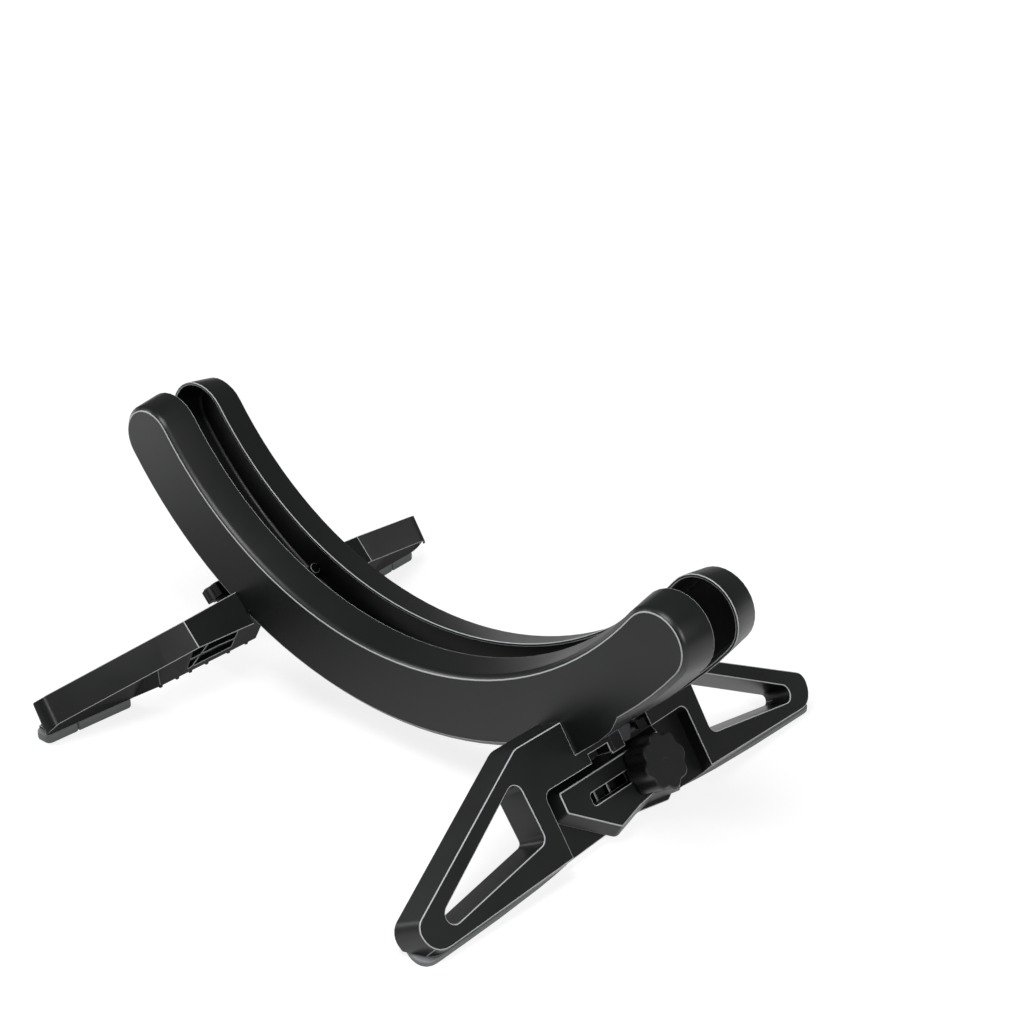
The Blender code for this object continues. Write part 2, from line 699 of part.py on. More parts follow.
def make_left_wing(name):
    """Left wing: shell, shallower recess and the upper tongue that lies in the right recess."""
    wing = wing_shell(name, LEFT_STRIP_Y)
    cut(wing, recess_cutter(UPPER_FLOOR))
    join(wing, platform())
    front = front_edge(UPPER_FLOOR)
    side = -RECESS_SIDE_Y - WING_WALL / 2
    shelf = plate("shelf", rounded([(SHELF_REAR, -UPPER_STEP_Y + 0.002),
                                    (RECESS_LENGTH - 0.001, -UPPER_STEP_Y + 0.002),
                                    (RECESS_LENGTH - 0.001, side), (front, side),
                                    (front, -UPPER_STEP_Y + 0.002),
                                    (TONGUE_REAR + 0.002, -UPPER_STEP_Y + 0.002),
                                    (TONGUE_REAR + 0.002, -STRIP_INNER_Y), (SHELF_REAR, -STRIP_INNER_Y)]),
                  UPPER_BOTTOM + 2 * OFF_FLUSH, UPPER_FLOOR + OFF_FLUSH)
    tongue, slot = left_tongue()
    join(wing, shelf, tongue)
    cut(wing, slot)
    return mirror_in_place(trim_wing(wing))


def along_leg(y, *stations):
    """Value at a distance from the middle plane, from (distance, value) stations.

    It is level before the first station and after the last one.
    """
    if y <= stations[0][0]:
        return stations[0][1]
    for (y0, value), (y1, after) in zip(stations, stations[1:]):
        if y <= y1:
            return value + (after - value) * (y - y0) / (y1 - y0)
    return stations[-1][1]


def leg_inner_y():
    """Where the legs begin, just outside the rails."""
    return WHEEL_GAP / 2 + RAIL_DEPTH + GAP


def leg_station(y, inset=0.0):
    """Leg section at a distance from the middle plane: top, front, lip, web top, web foot and heel.

    The web steps back to the foot between two stations, which lie further in for the hollow.
    """
    step_y, foot_y = LEG_STEP_Y - inset, LEG_FOOT_Y - inset
    back = along_leg(y, (LEG_KNEE_Y, 0), (LEG_CREASE_Y, LEG_CREASE_BACK))
    height = along_leg(y, (leg_inner_y(), REAR_TOP_Z + LEG_ROOT_RISE), (LEG_KNEE_Y, REAR_TOP_Z),
                       (LEG_CREASE_Y, LEG_CREASE_Z))
    slope = along_leg(y, (LEG_KNEE_Y, math.pi / 2 - REAR_SLOPE), (LEG_CREASE_Y, LEG_CREASE_SLOPE))
    width = along_leg(y, (leg_inner_y(), LEG_ROOT_FACE), (LEG_KNEE_Y, LEG_FACE))
    web_back = along_leg(y, (step_y, LEG_WEB_BACK), (foot_y, LEG_FOOT_WEB_BACK),
                         (LEG_CREASE_Y, LEG_END_WEB_BACK))
    web_z = along_leg(y, (step_y, LEG_WEB_Z), (foot_y, REAR_PAD_HEIGHT + GAP))
    heel_back = along_leg(y, (step_y, LEG_HEEL_BACK), (foot_y, LEG_FOOT_HEEL_BACK),
                          (LEG_CREASE_Y, LEG_END_HEEL_BACK))
    heel_z = along_leg(y, (step_y, LEG_HEEL_Z), (foot_y, LEG_FOOT_HEEL_Z), (LEG_CREASE_Y, LEG_END_HEEL_Z))
    face = Vector((math.cos(slope), -math.sin(slope)))
    out = Vector((math.sin(slope), math.cos(slope)))
    top = Vector((REAR_TOP_X - back, height))
    front = top + face * width
    lip = front - out * LEG_WALL
    web_top = lip - face * LEG_LIP
    return [top, front, lip, web_top, Vector((REAR_TOP_X - web_back, web_z)),
            Vector((REAR_TOP_X - heel_back, heel_z))]


def nose_section(share):
    """Section of the leg's rolled end at a share of the roll, which thins to the rolled edge."""
    top, front, lip, web_top, web_foot, heel = leg_station(LEG_CREASE_Y)
    face = (front - top).normalized()
    out = (front - lip).normalized()
    drop = out * (-LEG_NOSE_R * (1 - math.cos(share * math.pi / 2)))
    thin = 1 - 0.7 * share
    new_top = top + drop + face * (LEG_NOSE_R * 0.15 * share)
    new_front = front + drop + face * (LEG_NOSE_R * 0.45 * share)
    new_lip = new_front - out * (LEG_WALL * thin)
    new_web_top = new_lip - face * LEG_LIP
    new_foot = web_foot.lerp(new_lip - face * (LEG_LIP / 3) - out * (LEG_WALL / 6), share ** 2)
    new_heel = heel.lerp(new_top - out * (LEG_WALL / 2) + face * (LEG_WALL / 3), share)
    return [new_top, new_front, new_lip, new_web_top, new_foot, new_heel]


def leg_rings(inset, inner_y):
    """Rings of the right leg, or of its hollow when inset is not zero."""
    stations = [inner_y, LEG_KNEE_Y, LEG_STEP_Y - inset, LEG_FOOT_Y - inset, LEG_CREASE_Y]
    sections = [(y, leg_station(y, inset)) for y in stations]
    if not inset:
        for step in range(1, LEG_NOSE_STEPS + 1):
            share = step / LEG_NOSE_STEPS
            sections.append((LEG_CREASE_Y + LEG_NOSE_R * math.sin(share * math.pi / 2), nose_section(share)))
    rings = []
    for y, section in sections:
        if inset:
            top, _, _, web_top, web_foot, heel = section
            web_foot = web_foot + (web_foot - web_top).normalized() * LEG_OPEN_REACH
            heel = heel + (heel - top).normalized() * LEG_OPEN_REACH
            closed = [tuple(point) for point in (top, web_top, web_foot, heel)]
            if signed_area(closed) < 0:
                closed.reverse()
            section = offset_outline(closed, -inset)
        rings.append([Vector((x, -y, z)) for x, z in section])
    return rings


def web_frame(y):
    """Frame of the web at a distance from the middle plane.

    X runs down the web, Y to the left and Z out of it to the front.
    """
    _, _, _, web_top, web_foot, _ = leg_station(y)
    down = Vector((web_foot.x - web_top.x, 0, web_foot.y - web_top.y)).normalized()
    return axes_matrix(down, Vector((-down.z, 0, down.x)), Vector((web_top.x, 0, web_top.y)))


def web_backing():
    """Thick part of the web that the pockets are sunk in."""
    margin = LEG_POCKET_MARGIN
    return box("web_backing",
               (LEG_POCKET_TOP - margin, -LEG_POCKET_END_Y - margin, -LEG_POCKET_DEPTH - LEG_WALL),
               (LEG_POCKET_FOOT + margin, -LEG_POCKET_START_Y + margin, -LEG_WALL / 2), web_frame(LEG_KNEE_Y))


def web_pockets():
    """Four-cornered pockets in the web, parted by one rib along it and one across it at a slant."""
    frame = web_frame(LEG_KNEE_Y)
    rib = LEG_POCKET_RIB / 2
    bands = ((LEG_POCKET_TOP, LEG_POCKET_MIDDLE - rib), (LEG_POCKET_MIDDLE + rib, LEG_POCKET_FOOT))
    pockets = []
    for low, high in bands:
        slant = [LEG_DIAGONAL_Y + LEG_DIAGONAL_RUN * (level - LEG_POCKET_TOP) for level in (low, high)]
        for near_low, near_high, far_low, far_high in (
                (LEG_POCKET_START_Y, LEG_POCKET_START_Y, slant[0] - rib, slant[1] - rib),
                (slant[0] + rib, slant[1] + rib, LEG_POCKET_END_Y, LEG_POCKET_END_Y)):
            outline = rounded([(low, -near_low, 0.001), (high, -near_high, 0.001),
                               (high, -far_high, 0.001), (low, -far_low, 0.001)])
            pockets.append(plate(f"web_pocket_{len(pockets)}", outline, -LEG_POCKET_DEPTH, LEG_WALL, frame))
    return pockets


def under_rail_web():
    """Web that runs on under the rail, and the rib that ties it to the saddle."""
    inner_y = leg_inner_y()
    _, _, _, web_top, web_foot, _ = leg_station(inner_y)
    run = (web_foot - web_top).length
    web = box("under_rail_web", (-LEG_LIP, -inner_y - LEG_WALL / 2, -LEG_WALL),
              (run, -SADDLE_INNER_Y, -OFF_FLUSH), web_frame(inner_y))
    low = REAR @ Vector((SADDLE_BOTTOM - LEG_WALL, 0, -SADDLE_FRONT + LEG_WALL))
    high = REAR @ Vector((SADDLE_TOP + LEG_WALL, 0, -SADDLE_FRONT + LEG_WALL))
    up = (web_top - web_foot).normalized() * (LEG_WALL / 2)
    inside = up + Vector((-up.y, up.x))
    outline = [web_top + inside, web_foot + inside, Vector((low.x, low.z)), Vector((high.x, high.z))]
    rib = loft("saddle_rib",
               [[Vector((point.x, -SADDLE_RIB_Y + side * LEG_RIB / 2, point.y)) for point in outline]
                              for side in (-1, 1)])
    return web, rib


def leg_sole():
    """Floor of the leg's outer half, which rests on the pads."""
    level = REAR_PAD_HEIGHT + GAP + OFF_FLUSH
    inner_x = leg_station(LEG_FOOT_Y)[4].x - LEG_SOLE_SET_BACK
    outer_x = leg_station(LEG_CREASE_Y)[4].x - LEG_SOLE_SET_BACK
    back = LEG_SOLE_SET_BACK + LEG_WALL - REAR_PAD_WIDTH
    start = LEG_FOOT_Y + LEG_WALL / 2
    end = LEG_CREASE_Y - LEG_WALL / 2
    outline = rounded([(inner_x, -start), (outer_x, -end), (outer_x + back, -end), (inner_x + back, -start)])
    return plate("leg_sole", outline, level, level + LEG_WALL)


def rear_tongue_level(right):
    """Lower face of a rear tongue: the right one lies in the leg's back wall, the left one slides over it."""
    return -REAR_TONGUE_THICK - OFF_FLUSH if right else SLIDE_GAP


def make_leg(name, right):
    """Right leg, or the left one before it is mirrored: ribbed channel, sole, saddle and rear tongue."""
    inner_y = leg_inner_y()
    leg = loft(name, leg_rings(0, inner_y))
    hollow = loft("leg_hollow", leg_rings(LEG_WALL, inner_y + LEG_WALL))
    for index, y in enumerate(LEG_RIB_YS):
        cut(hollow, box(f"leg_rib_{index}", (-0.4, -y - LEG_RIB / 2, -0.1), (-0.1, -y + LEG_RIB / 2, 0.2)))
    cut(leg, hollow)
    join(leg, web_backing())
    cut(leg, *web_pockets())
    cut(leg, box("tongue_way", (SADDLE_BOTTOM + GAP, -1, 0), (1, LEG_KNEE_Y, 1), REAR))
    saddle = box("saddle", (SADDLE_TOP, SADDLE_INNER_Y, -SADDLE_FRONT),
                 (SADDLE_BOTTOM, inner_y + LEG_WALL / 2, -GAP), REAR)
    hold = REAR_TONGUE_HOLD_Y
    level = rear_tongue_level(right)
    end = REAR_TONGUE_LEFT_Y if right else REAR_TONGUE_RIGHT_Y
    tongue = plate("rear_tongue", rounded([(REAR_TONGUE_TOP, hold), (REAR_TONGUE_TOP, -end, 0.006),
                                           (REAR_TONGUE_BOTTOM, -end, 0.006), (REAR_TONGUE_BOTTOM, hold)]),
                   level, level + REAR_TONGUE_THICK, REAR)
    join(leg, leg_sole(), saddle, *under_rail_web(), tongue)
    if not right:
        join(leg, box("tongue_root", (REAR_TONGUE_TOP + LEG_WALL, REAR_TONGUE_ROOT_Y, -LEG_WALL / 2),
                      (REAR_BOLT_DOWN, hold - 0.002, level + REAR_TONGUE_THICK / 2), REAR))
    cut(leg, rail_block("leg_rail_clearance", GAP))
    if right:
        axis = REAR @ Matrix.Translation((REAR_BOLT_DOWN, REAR_BOLT_Y, 0))
        cut(leg,
            rod("rear_bolt_hole", BOLT_R + GAP, level - CUT_OVER, level + REAR_TONGUE_THICK + CUT_OVER, axis))
    else:
        half = REAR_SLOT_WIDTH / 2
        near, far = -REAR_SLOT_NEAR_Y, -REAR_SLOT_FAR_Y
        slot = rounded([(REAR_BOLT_DOWN - half, near, half * 0.999),
                        (REAR_BOLT_DOWN + half, near, half * 0.999),
                        (REAR_BOLT_DOWN + half, far, half * 0.999),
                        (REAR_BOLT_DOWN - half, far, half * 0.999)])
        cut(leg, plate("rear_slot", slot, level - CUT_OVER, level + REAR_TONGUE_THICK + CUT_OVER, REAR))
    for index, axis in enumerate(screw_axes()[1]):
        cut(leg, rod(f"leg_screw_hole_{index}", SCREW_R + GAP, -0.001, SADDLE_BOTTOM, axis, sides=16))
    return leg if right else mirror_in_place(leg)


def turned(name, profile, placement, sides=ROUND_SIDES):
    """Closed solid of revolution about Z, from (radius, height) points, with a Screw modifier."""
    bm = bmesh.new()
    verts = [bm.verts.new((0, 0, profile[0][1]))]
    verts += [bm.verts.new((radius, 0, height)) for radius, height in profile]
    verts.append(bm.verts.new((0, 0, profile[-1][1])))
    for first, second in zip(verts, verts[1:]):
        bm.edges.new((first, second))
    obj = mesh_object(name, bm)
    spin = obj.modifiers.new("turn", "SCREW")
    spin.axis = "Z"
    spin.angle = 2 * math.pi
    spin.steps = sides
    spin.render_steps = sides
    spin.use_merge_vertices = True
    spin.merge_threshold = 0.00002
    bake(obj)
    obj.data.transform(placement)
    return obj


def make_screw(name, axis, grip):
    """Pan-head screw along Z of its axis."""
    profile = [(SCREW_R, grip), (SCREW_R, -GAP), (SCREW_HEAD_R, -GAP),
               (SCREW_HEAD_R, -GAP - SCREW_HEAD_H * 0.5), (SCREW_HEAD_R * 0.7, -GAP - SCREW_HEAD_H)]
    return turned(name, profile, axis, sides=20)


def knob_outline(radius):
    """Outline of a knob with wide lobes and narrower scallops between them."""
    sides = KNOB_LOBES * 12
    points = []
    for step in range(sides):
        angle = 2 * math.pi * step / sides
        scallop = (0.5 - 0.5 * math.cos(KNOB_LOBES * angle)) ** KNOB_SCALLOP_POWER
        reach = radius - KNOB_LOBE_DEPTH * scallop
        points.append((reach * math.cos(angle), reach * math.sin(angle)))
    return points


def make_clamp(prefix, axis, head_level, seat, radius, height, hub, names):
    """Bolt, washer, threaded insert and knob on one axis; levels run along the axis."""
    washer_low = seat + GAP
    knob_low = washer_low + WASHER_THICK + GAP
    knob_top = knob_low + height + hub
    insert_top = knob_low + hub + height * 0.62
    bolt_top = insert_top + 0.001
    names[f"{prefix}_bolt"] = turned(
        f"{prefix}_bolt", [(BOLT_R, bolt_top), (BOLT_R, head_level - GAP), (BOLT_HEAD_R, head_level - GAP),
                           (BOLT_HEAD_R * 0.8, head_level - GAP - BOLT_HEAD_H)], axis)
    washer = rod(f"{prefix}_washer", WASHER_R, washer_low, washer_low + WASHER_THICK, axis)
    cut(washer, rod(f"{prefix}_washer_hole", BOLT_R + GAP, washer_low - 0.001, knob_low + 0.001, axis))
    names[f"{prefix}_washer"] = washer
    insert = rod(f"{prefix}_insert", INSERT_R, knob_low, insert_top, axis, sides=24)
    cut(insert, rod(f"{prefix}_insert_hole", BOLT_R + GAP, knob_low - 0.001, insert_top + 0.001, axis))
    names[f"{prefix}_insert"] = insert
    outline = knob_outline(radius)
    crown = offset_outline(outline, -KNOB_CROWN)
    foot = offset_outline(outline, -KNOB_FOOT)
    rings = []
    for points, level in ((foot, knob_low + hub), (outline, knob_low + hub + KNOB_FOOT),
                          (outline, knob_top - KNOB_CROWN), (crown, knob_top)):
        rings.append([axis @ Vector((x, y, level)) for x, y in points])
    knob = loft(f"{prefix}_knob", rings)
    if hub:
        join(knob, rod(f"{prefix}_hub", HUB_R, knob_low, knob_low + hub + KNOB_FOOT * 2, axis))
    cut(knob, rod(f"{prefix}_knob_bore", INSERT_R + GAP, knob_low - 0.001, insert_top + GAP, axis, sides=24))
    cut(knob, rod(f"{prefix}_bolt_end", BOLT_R + 2 * GAP, insert_top - 0.001, knob_top - 0.0022, axis))
    names[f"{prefix}_knob"] = knob


def front_pad(name):
    """Rubber strip under the front edge of the right wing."""
    level = FRONT_PAD_HEIGHT + GAP
    corners = []
    for y in (RECESS_SIDE_Y + 0.004, WING_OUTER_Y - 0.022):
        share = (y - RECESS_SIDE_Y) / (WING_OUTER_Y - RECESS_SIDE_Y)
        length = WING_FRONT_LENGTH + (WING_TIP_LENGTH - WING_FRONT_LENGTH) * share
        start = FRONT @ Vector((length, 0, WING_FACE - WING_TILT * y))
        step = FRONT.to_3x3() @ Vector((WING_FRONT_DRAFT, 0, -1))
        foot = start + step * ((level - start.z) / step.z)
        corners.append((foot.x + 0.001, -y))
    (inner_x, inner_y), (outer_x, outer_y) = corners
    outline = rounded([(inner_x - FRONT_PAD_WIDTH, inner_y, 0.004), (inner_x, inner_y, 0.004),
                       (outer_x, outer_y, 0.006), (outer_x - 0.007, -WING_OUTER_Y + 0.010, 0.006),
                       (outer_x - FRONT_PAD_WIDTH, -WING_OUTER_Y + 0.012, 0.006)])
    return plate(name, outline, 0, FRONT_PAD_HEIGHT)


def rear_pads(outer_name, inner_name):
    """Two rubber blocks under the foot of the right leg."""
    front_in = leg_station(LEG_FOOT_Y)[4].x
    front_out = leg_station(LEG_CREASE_Y)[4].x
    joint_x = front_in + (front_out - front_in) * (REAR_PAD_JOINT_Y - LEG_FOOT_Y) / (LEG_CREASE_Y - LEG_FOOT_Y)
    half = GAP
    inner = rounded([(front_in - REAR_PAD_WIDTH, -LEG_FOOT_Y, 0.005), (front_in, -LEG_FOOT_Y, 0.005),
                     (joint_x, -REAR_PAD_JOINT_Y + half),
                     (joint_x - REAR_PAD_WIDTH, -REAR_PAD_JOINT_Y + half)])
    outer = rounded([(joint_x - REAR_PAD_WIDTH, -REAR_PAD_JOINT_Y - half),
                     (joint_x, -REAR_PAD_JOINT_Y - half),
                     (front_out, -LEG_CREASE_Y - LEG_WALL, 0.006),
                     (front_out - REAR_PAD_WIDTH, -LEG_CREASE_Y - LEG_WALL, 0.008)])
    return {outer_name: plate(outer_name, outer, 0, REAR_PAD_HEIGHT),
            inner_name: plate(inner_name, inner, 0, REAR_PAD_HEIGHT)}


def stop_block(name):
    """Moulded five-sided block that the right wing's tab slides over."""
    return plate(name, rounded(STOP_BLOCK_CORNERS), UPPER_FLOOR + OFF_FLUSH + GAP, STOP_BLOCK_TOP, FRONT)


def stop_clip(name, clip, floor):
    """Bent steel strip that stands in a notch: foot, riser and turned-over tip."""
    start, end, y, top = clip
    inner = start + STOP_STRIP
    profile = [(start, floor), (end, floor), (end, floor + STOP_STRIP), (inner, floor + STOP_STRIP),
               (inner, top - STOP_STRIP), (end - STOP_LIP, top - STOP_STRIP), (end - STOP_LIP, top),
               (start, top)]
    rings = [[FRONT @ Vector((x, y + shift, z)) for x, z in profile]
             for shift in (-STOP_HALF_WIDTH, STOP_HALF_WIDTH)]
    return loft(name, rings)


def material(name, color, roughness, metallic):
    """Plain principled material."""
    made = bpy.data.materials.new(name)
    made.use_nodes = True
    shader = made.node_tree.nodes["Principled BSDF"]
    shader.inputs["Base Color"].default_value = (*color, 1)
    shader.inputs["Roughness"].default_value = roughness
    shader.inputs["Metallic"].default_value = metallic
    return made


def parent_to(empty_name, placement, children, parent=None):
    """Empty on a joint's axis, with the moving pieces under it."""
    empty = bpy.data.objects.new(empty_name, None)
    empty.empty_display_size = 0.05
    empty.matrix_world = placement
    PARTS.objects.link(empty)
    if parent is not None:
        attach(empty, parent)
    for child in children:
        attach(child, empty)
    return empty


def attach(child, parent):
    """Parent a piece without moving it."""
    bpy.context.view_layer.update()
    world = child.matrix_world.copy()
    child.parent = parent
    child.matrix_parent_inverse = parent.matrix_world.inverted()
    child.matrix_world = world


def build():
    """Make every piece of the stand."""
    pieces = {}
    pieces["right_rail"] = make_rail("right_rail")
    pieces["left_rail"] = mirrored_mesh(pieces["right_rail"], "left_rail")
    pieces["right_front_wing"] = make_right_wing("right_front_wing")
    pieces["left_front_wing"] = make_left_wing("left_front_wing")
    pieces["right_rear_leg"] = make_leg("right_rear_leg", True)
    pieces["left_rear_leg"] = make_leg("left_rear_leg", False)
    pieces["right_front_pad"] = front_pad("right_front_pad")
    pieces["left_front_pad"] = mirrored_mesh(pieces["right_front_pad"], "left_front_pad")
    pieces.update(rear_pads("right_rear_pad_outer", "right_rear_pad_inner"))
    for place in ("outer", "inner"):
        pieces[f"left_rear_pad_{place}"] = mirrored_mesh(pieces[f"right_rear_pad_{place}"],
                                                         f"left_rear_pad_{place}")
    grips = (PLATFORM_THICK + SCREW_GRIP - 0.001, SADDLE_BOTTOM + SCREW_GRIP - 0.004)
    for kind, axes, grip in zip(("wing", "leg"), screw_axes(), grips):
        for number, axis in enumerate(axes, start=1):
            name = f"{kind}_screw_{number}"
            pieces[f"right_{name}"] = make_screw(f"right_{name}", axis, grip)
            pieces[f"left_{name}"] = mirrored_mesh(pieces[f"right_{name}"], f"left_{name}")
    front_axis = FRONT @ Matrix.Translation((FRONT_BOLT_LENGTH, FRONT_BOLT_Y, 0))
    rear_axis = REAR @ Matrix.Translation((REAR_BOLT_DOWN, REAR_BOLT_Y, 0))
    make_clamp("front_clamp", front_axis, UPPER_BOTTOM - SLIDE_GAP - LOWER_THICK, UPPER_TOP,
               FRONT_KNOB_R, FRONT_KNOB_HEIGHT, 0.0, pieces)
    make_clamp("rear_clamp", rear_axis, rear_tongue_level(True), rear_tongue_level(False) + REAR_TONGUE_THICK,
               REAR_KNOB_R, REAR_KNOB_HEIGHT, REAR_HUB_HEIGHT, pieces)
    pieces["width_stop_block"] = stop_block("width_stop_block")
    right_floor = UPPER_BOTTOM - SLIDE_GAP + GAP
    pieces["right_stop_clip"] = stop_clip("right_stop_clip", RIGHT_CLIP, right_floor)
    pieces["left_stop_clip"] = stop_clip("left_stop_clip", LEFT_CLIP, UPPER_FLOOR + OFF_FLUSH + GAP)
    paint(pieces)
    hang(pieces, front_axis, rear_axis)


def paint(pieces):
    """Give each piece its own material."""
    looks = (("knob", (0.020, 0.020, 0.021), 0.50, 0.0), ("pad", (0.060, 0.062, 0.063), 0.80, 0.0),
             ("bolt", (0.42, 0.42, 0.43), 0.35, 1.0), ("washer", (0.45, 0.45, 0.46), 0.35, 1.0),
             ("insert", (0.60, 0.45, 0.18), 0.40, 1.0), ("screw", (0.40, 0.40, 0.41), 0.35, 1.0),
             ("clip", (0.09, 0.09, 0.092), 0.40, 1.0), ("block", (0.050, 0.051, 0.052), 0.55, 0.0))
    for name, obj in pieces.items():
        look = next((entry for entry in looks if entry[0] in name), ("", (0.016, 0.017, 0.017), 0.42, 0.0))
        obj.data.materials.clear()
        obj.data.materials.append(material(f"{name}_finish", *look[1:]))
        obj.data.shade_smooth()
        obj.data.set_sharp_from_angle(angle=math.radians(30))


def hang(pieces, front_axis, rear_axis):
    """Parent the moving pieces to empties on their joints' axes."""
    right_half = [obj for name, obj in pieces.items() if name.startswith("right_")]
    right_half += [pieces["front_clamp_bolt"], pieces["rear_clamp_bolt"]]
    slide = parent_to("right_half_slide", Matrix.Translation((0, -WHEEL_GAP / 2, FRONT_TOP_Z)), right_half)
    for prefix, axis in (("front_clamp", front_axis), ("rear_clamp", rear_axis)):
        washer = parent_to(f"{prefix}_lift", axis, [pieces[f"{prefix}_washer"]], slide)
        parent_to(f"{prefix}_turn", axis, [pieces[f"{prefix}_knob"], pieces[f"{prefix}_insert"]], washer)


clear_scene()
PARTS = new_collection("bike_parking_stand")
CUTTERS = new_collection("cutters")
FRONT = front_frame()
REAR = rear_frame()
build()
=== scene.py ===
# %% [markdown]
# # Bike parking stand
# The stand is two curved rails with a narrow gap between them. Each rail is screwed to a front wing and
# to a rear leg, and the two halves slide apart on tongues that two knobs clamp.
# Its moving model is loaded first: one solid for each part, on bodies that slide and turn. The looks
# could be painted straight onto those solids, but their corners are sharp and their knobs are faceted.
# So each moulded part gets a finer copy, which stands where the solid stands and rides on its body.

import json
import math

import bmesh
import bpy
from mathutils import Matrix, Vector

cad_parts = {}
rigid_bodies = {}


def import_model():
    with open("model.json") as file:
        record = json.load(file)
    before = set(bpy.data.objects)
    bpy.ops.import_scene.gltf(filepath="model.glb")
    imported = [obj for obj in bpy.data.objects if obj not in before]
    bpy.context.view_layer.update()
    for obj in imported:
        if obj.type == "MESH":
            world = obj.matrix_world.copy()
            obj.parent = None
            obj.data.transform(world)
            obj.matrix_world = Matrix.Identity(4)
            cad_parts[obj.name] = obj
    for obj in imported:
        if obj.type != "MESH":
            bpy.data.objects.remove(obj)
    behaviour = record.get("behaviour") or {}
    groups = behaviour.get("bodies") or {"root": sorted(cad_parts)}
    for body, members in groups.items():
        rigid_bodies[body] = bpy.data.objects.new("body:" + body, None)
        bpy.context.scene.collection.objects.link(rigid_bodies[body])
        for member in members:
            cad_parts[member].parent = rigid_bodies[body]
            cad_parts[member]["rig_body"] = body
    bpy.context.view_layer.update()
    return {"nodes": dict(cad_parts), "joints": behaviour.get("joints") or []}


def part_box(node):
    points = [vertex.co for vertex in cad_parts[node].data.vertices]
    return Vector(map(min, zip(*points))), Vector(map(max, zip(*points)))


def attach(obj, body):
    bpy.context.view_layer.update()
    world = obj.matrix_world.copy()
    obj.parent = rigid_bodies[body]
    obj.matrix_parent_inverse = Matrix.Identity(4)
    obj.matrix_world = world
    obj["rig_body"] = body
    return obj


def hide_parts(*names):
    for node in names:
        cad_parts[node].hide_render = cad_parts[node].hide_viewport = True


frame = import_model()
nodes = frame["nodes"]
joints = {joint["name"]: joint for joint in frame["joints"]}

# %% [markdown]
# ## Camera
# The view looks down on the stand from its front right. A wide lens close by would bend the long rails
# apart, so a long lens stands far off and keeps them nearly parallel.

# %% Place the camera
CAMERA_PLACE = Vector((1.3986, -1.4794, 1.2383))
CAMERA_LOOK = Vector((-0.5874, 0.6779, -0.4421))
LENS_MM = 85.43
SENSOR_MM = 36.0
SIGHT_LIMIT = 50.0

camera_data = bpy.data.cameras.new("stand_camera")
camera_data.lens = LENS_MM
camera_data.sensor_width = SENSOR_MM
camera_data.clip_end = SIGHT_LIMIT
camera = bpy.data.objects.new("stand_camera", camera_data)
camera.location = CAMERA_PLACE
camera.rotation_euler = CAMERA_LOOK.to_track_quat("-Z", "Y").to_euler()
bpy.context.scene.collection.objects.link(camera)
bpy.context.scene.camera = camera
print("camera is", round(CAMERA_PLACE.length, 2), "m from the stand")

# %% [markdown]
# ## Nodes
# A material and a shape rule are both small graphs. They could be drawn by hand in the node editor, but
# a script can be read and run again. One helper adds a node, sets it and links it, so that each graph
# below reads as a list of what it is made of.


# %% Helpers for colours and nodes
def linear(hex_colour):
    """Linear colour of an sRGB hex value such as #232526."""
    channels = [int(hex_colour[index:index + 2], 16) / 255 for index in (1, 3, 5)]
    return (*(c / 12.92 if c <= 0.04045 else ((c + 0.055) / 1.055) ** 2.4 for c in channels), 1.0)


def add_node(tree, kind, inputs=None, **settings):
    """New node with its settings and inputs.

    An input is a value, a socket, a node, which gives its first output, or a list of nodes and sockets.
    """
    node = tree.nodes.new(kind)
    for name, value in settings.items():
        setattr(node, name, value)
    for name, value in (inputs or {}).items():
        for source in value if isinstance(value, list) else [value]:
            if isinstance(source, bpy.types.Node):
                source = source.outputs[0]
            if isinstance(source, bpy.types.NodeSocket):
                tree.links.new(source, node.inputs[name])
            else:
                node.inputs[name].default_value = source
    return node


def new_material(name):
    """Empty material: its tree, its shader and the object's coordinates in metres."""
    material = bpy.data.materials.new(name)
    material.use_nodes = True
    tree = material.node_tree
    place = add_node(tree, "ShaderNodeTexCoord").outputs["Object"]
    return material, tree, tree.nodes["Principled BSDF"], place


def noise_scale(width_mm):
    """Scale of a noise whose spots are some millimetres wide."""
    return 1000.0 / width_mm


print("linear value of a middle grey:", round(linear("#808080")[0], 3))

# %% [markdown]
# ## Moulded plastic
# The rails, wings and legs are injection-moulded black polypropylene, the knobs are black nylon, and the
# width stop is grey acetal. A mould's steel is spark-eroded, which leaves a fine matt grain. The plastic
# cools unevenly, so a wide face is shinier in one place than in another, and the colour varies a little
# where the plastic flowed in.
# The real grain is 0.2 mm wide, which is too fine to see here, so it is drawn at 0.8 mm as a shallow bump.
# Outer corners carry hardly any grain: there the mould is polished. They also take a pale material of their
# own, a painted highlight that draws a thin light line round every face. A mask from the mesh's curvature
# could paint that highlight, but it would be lost on export, so the corners get the pale material instead.

# %% Moulded plastic
GRAIN_MM = 0.8
SHINE_PATCH_MM = 83.3
FLOW_MARK_MM = 200.0
SHINE_CHANGE = 0.04
PLASTIC_IOR = 1.49


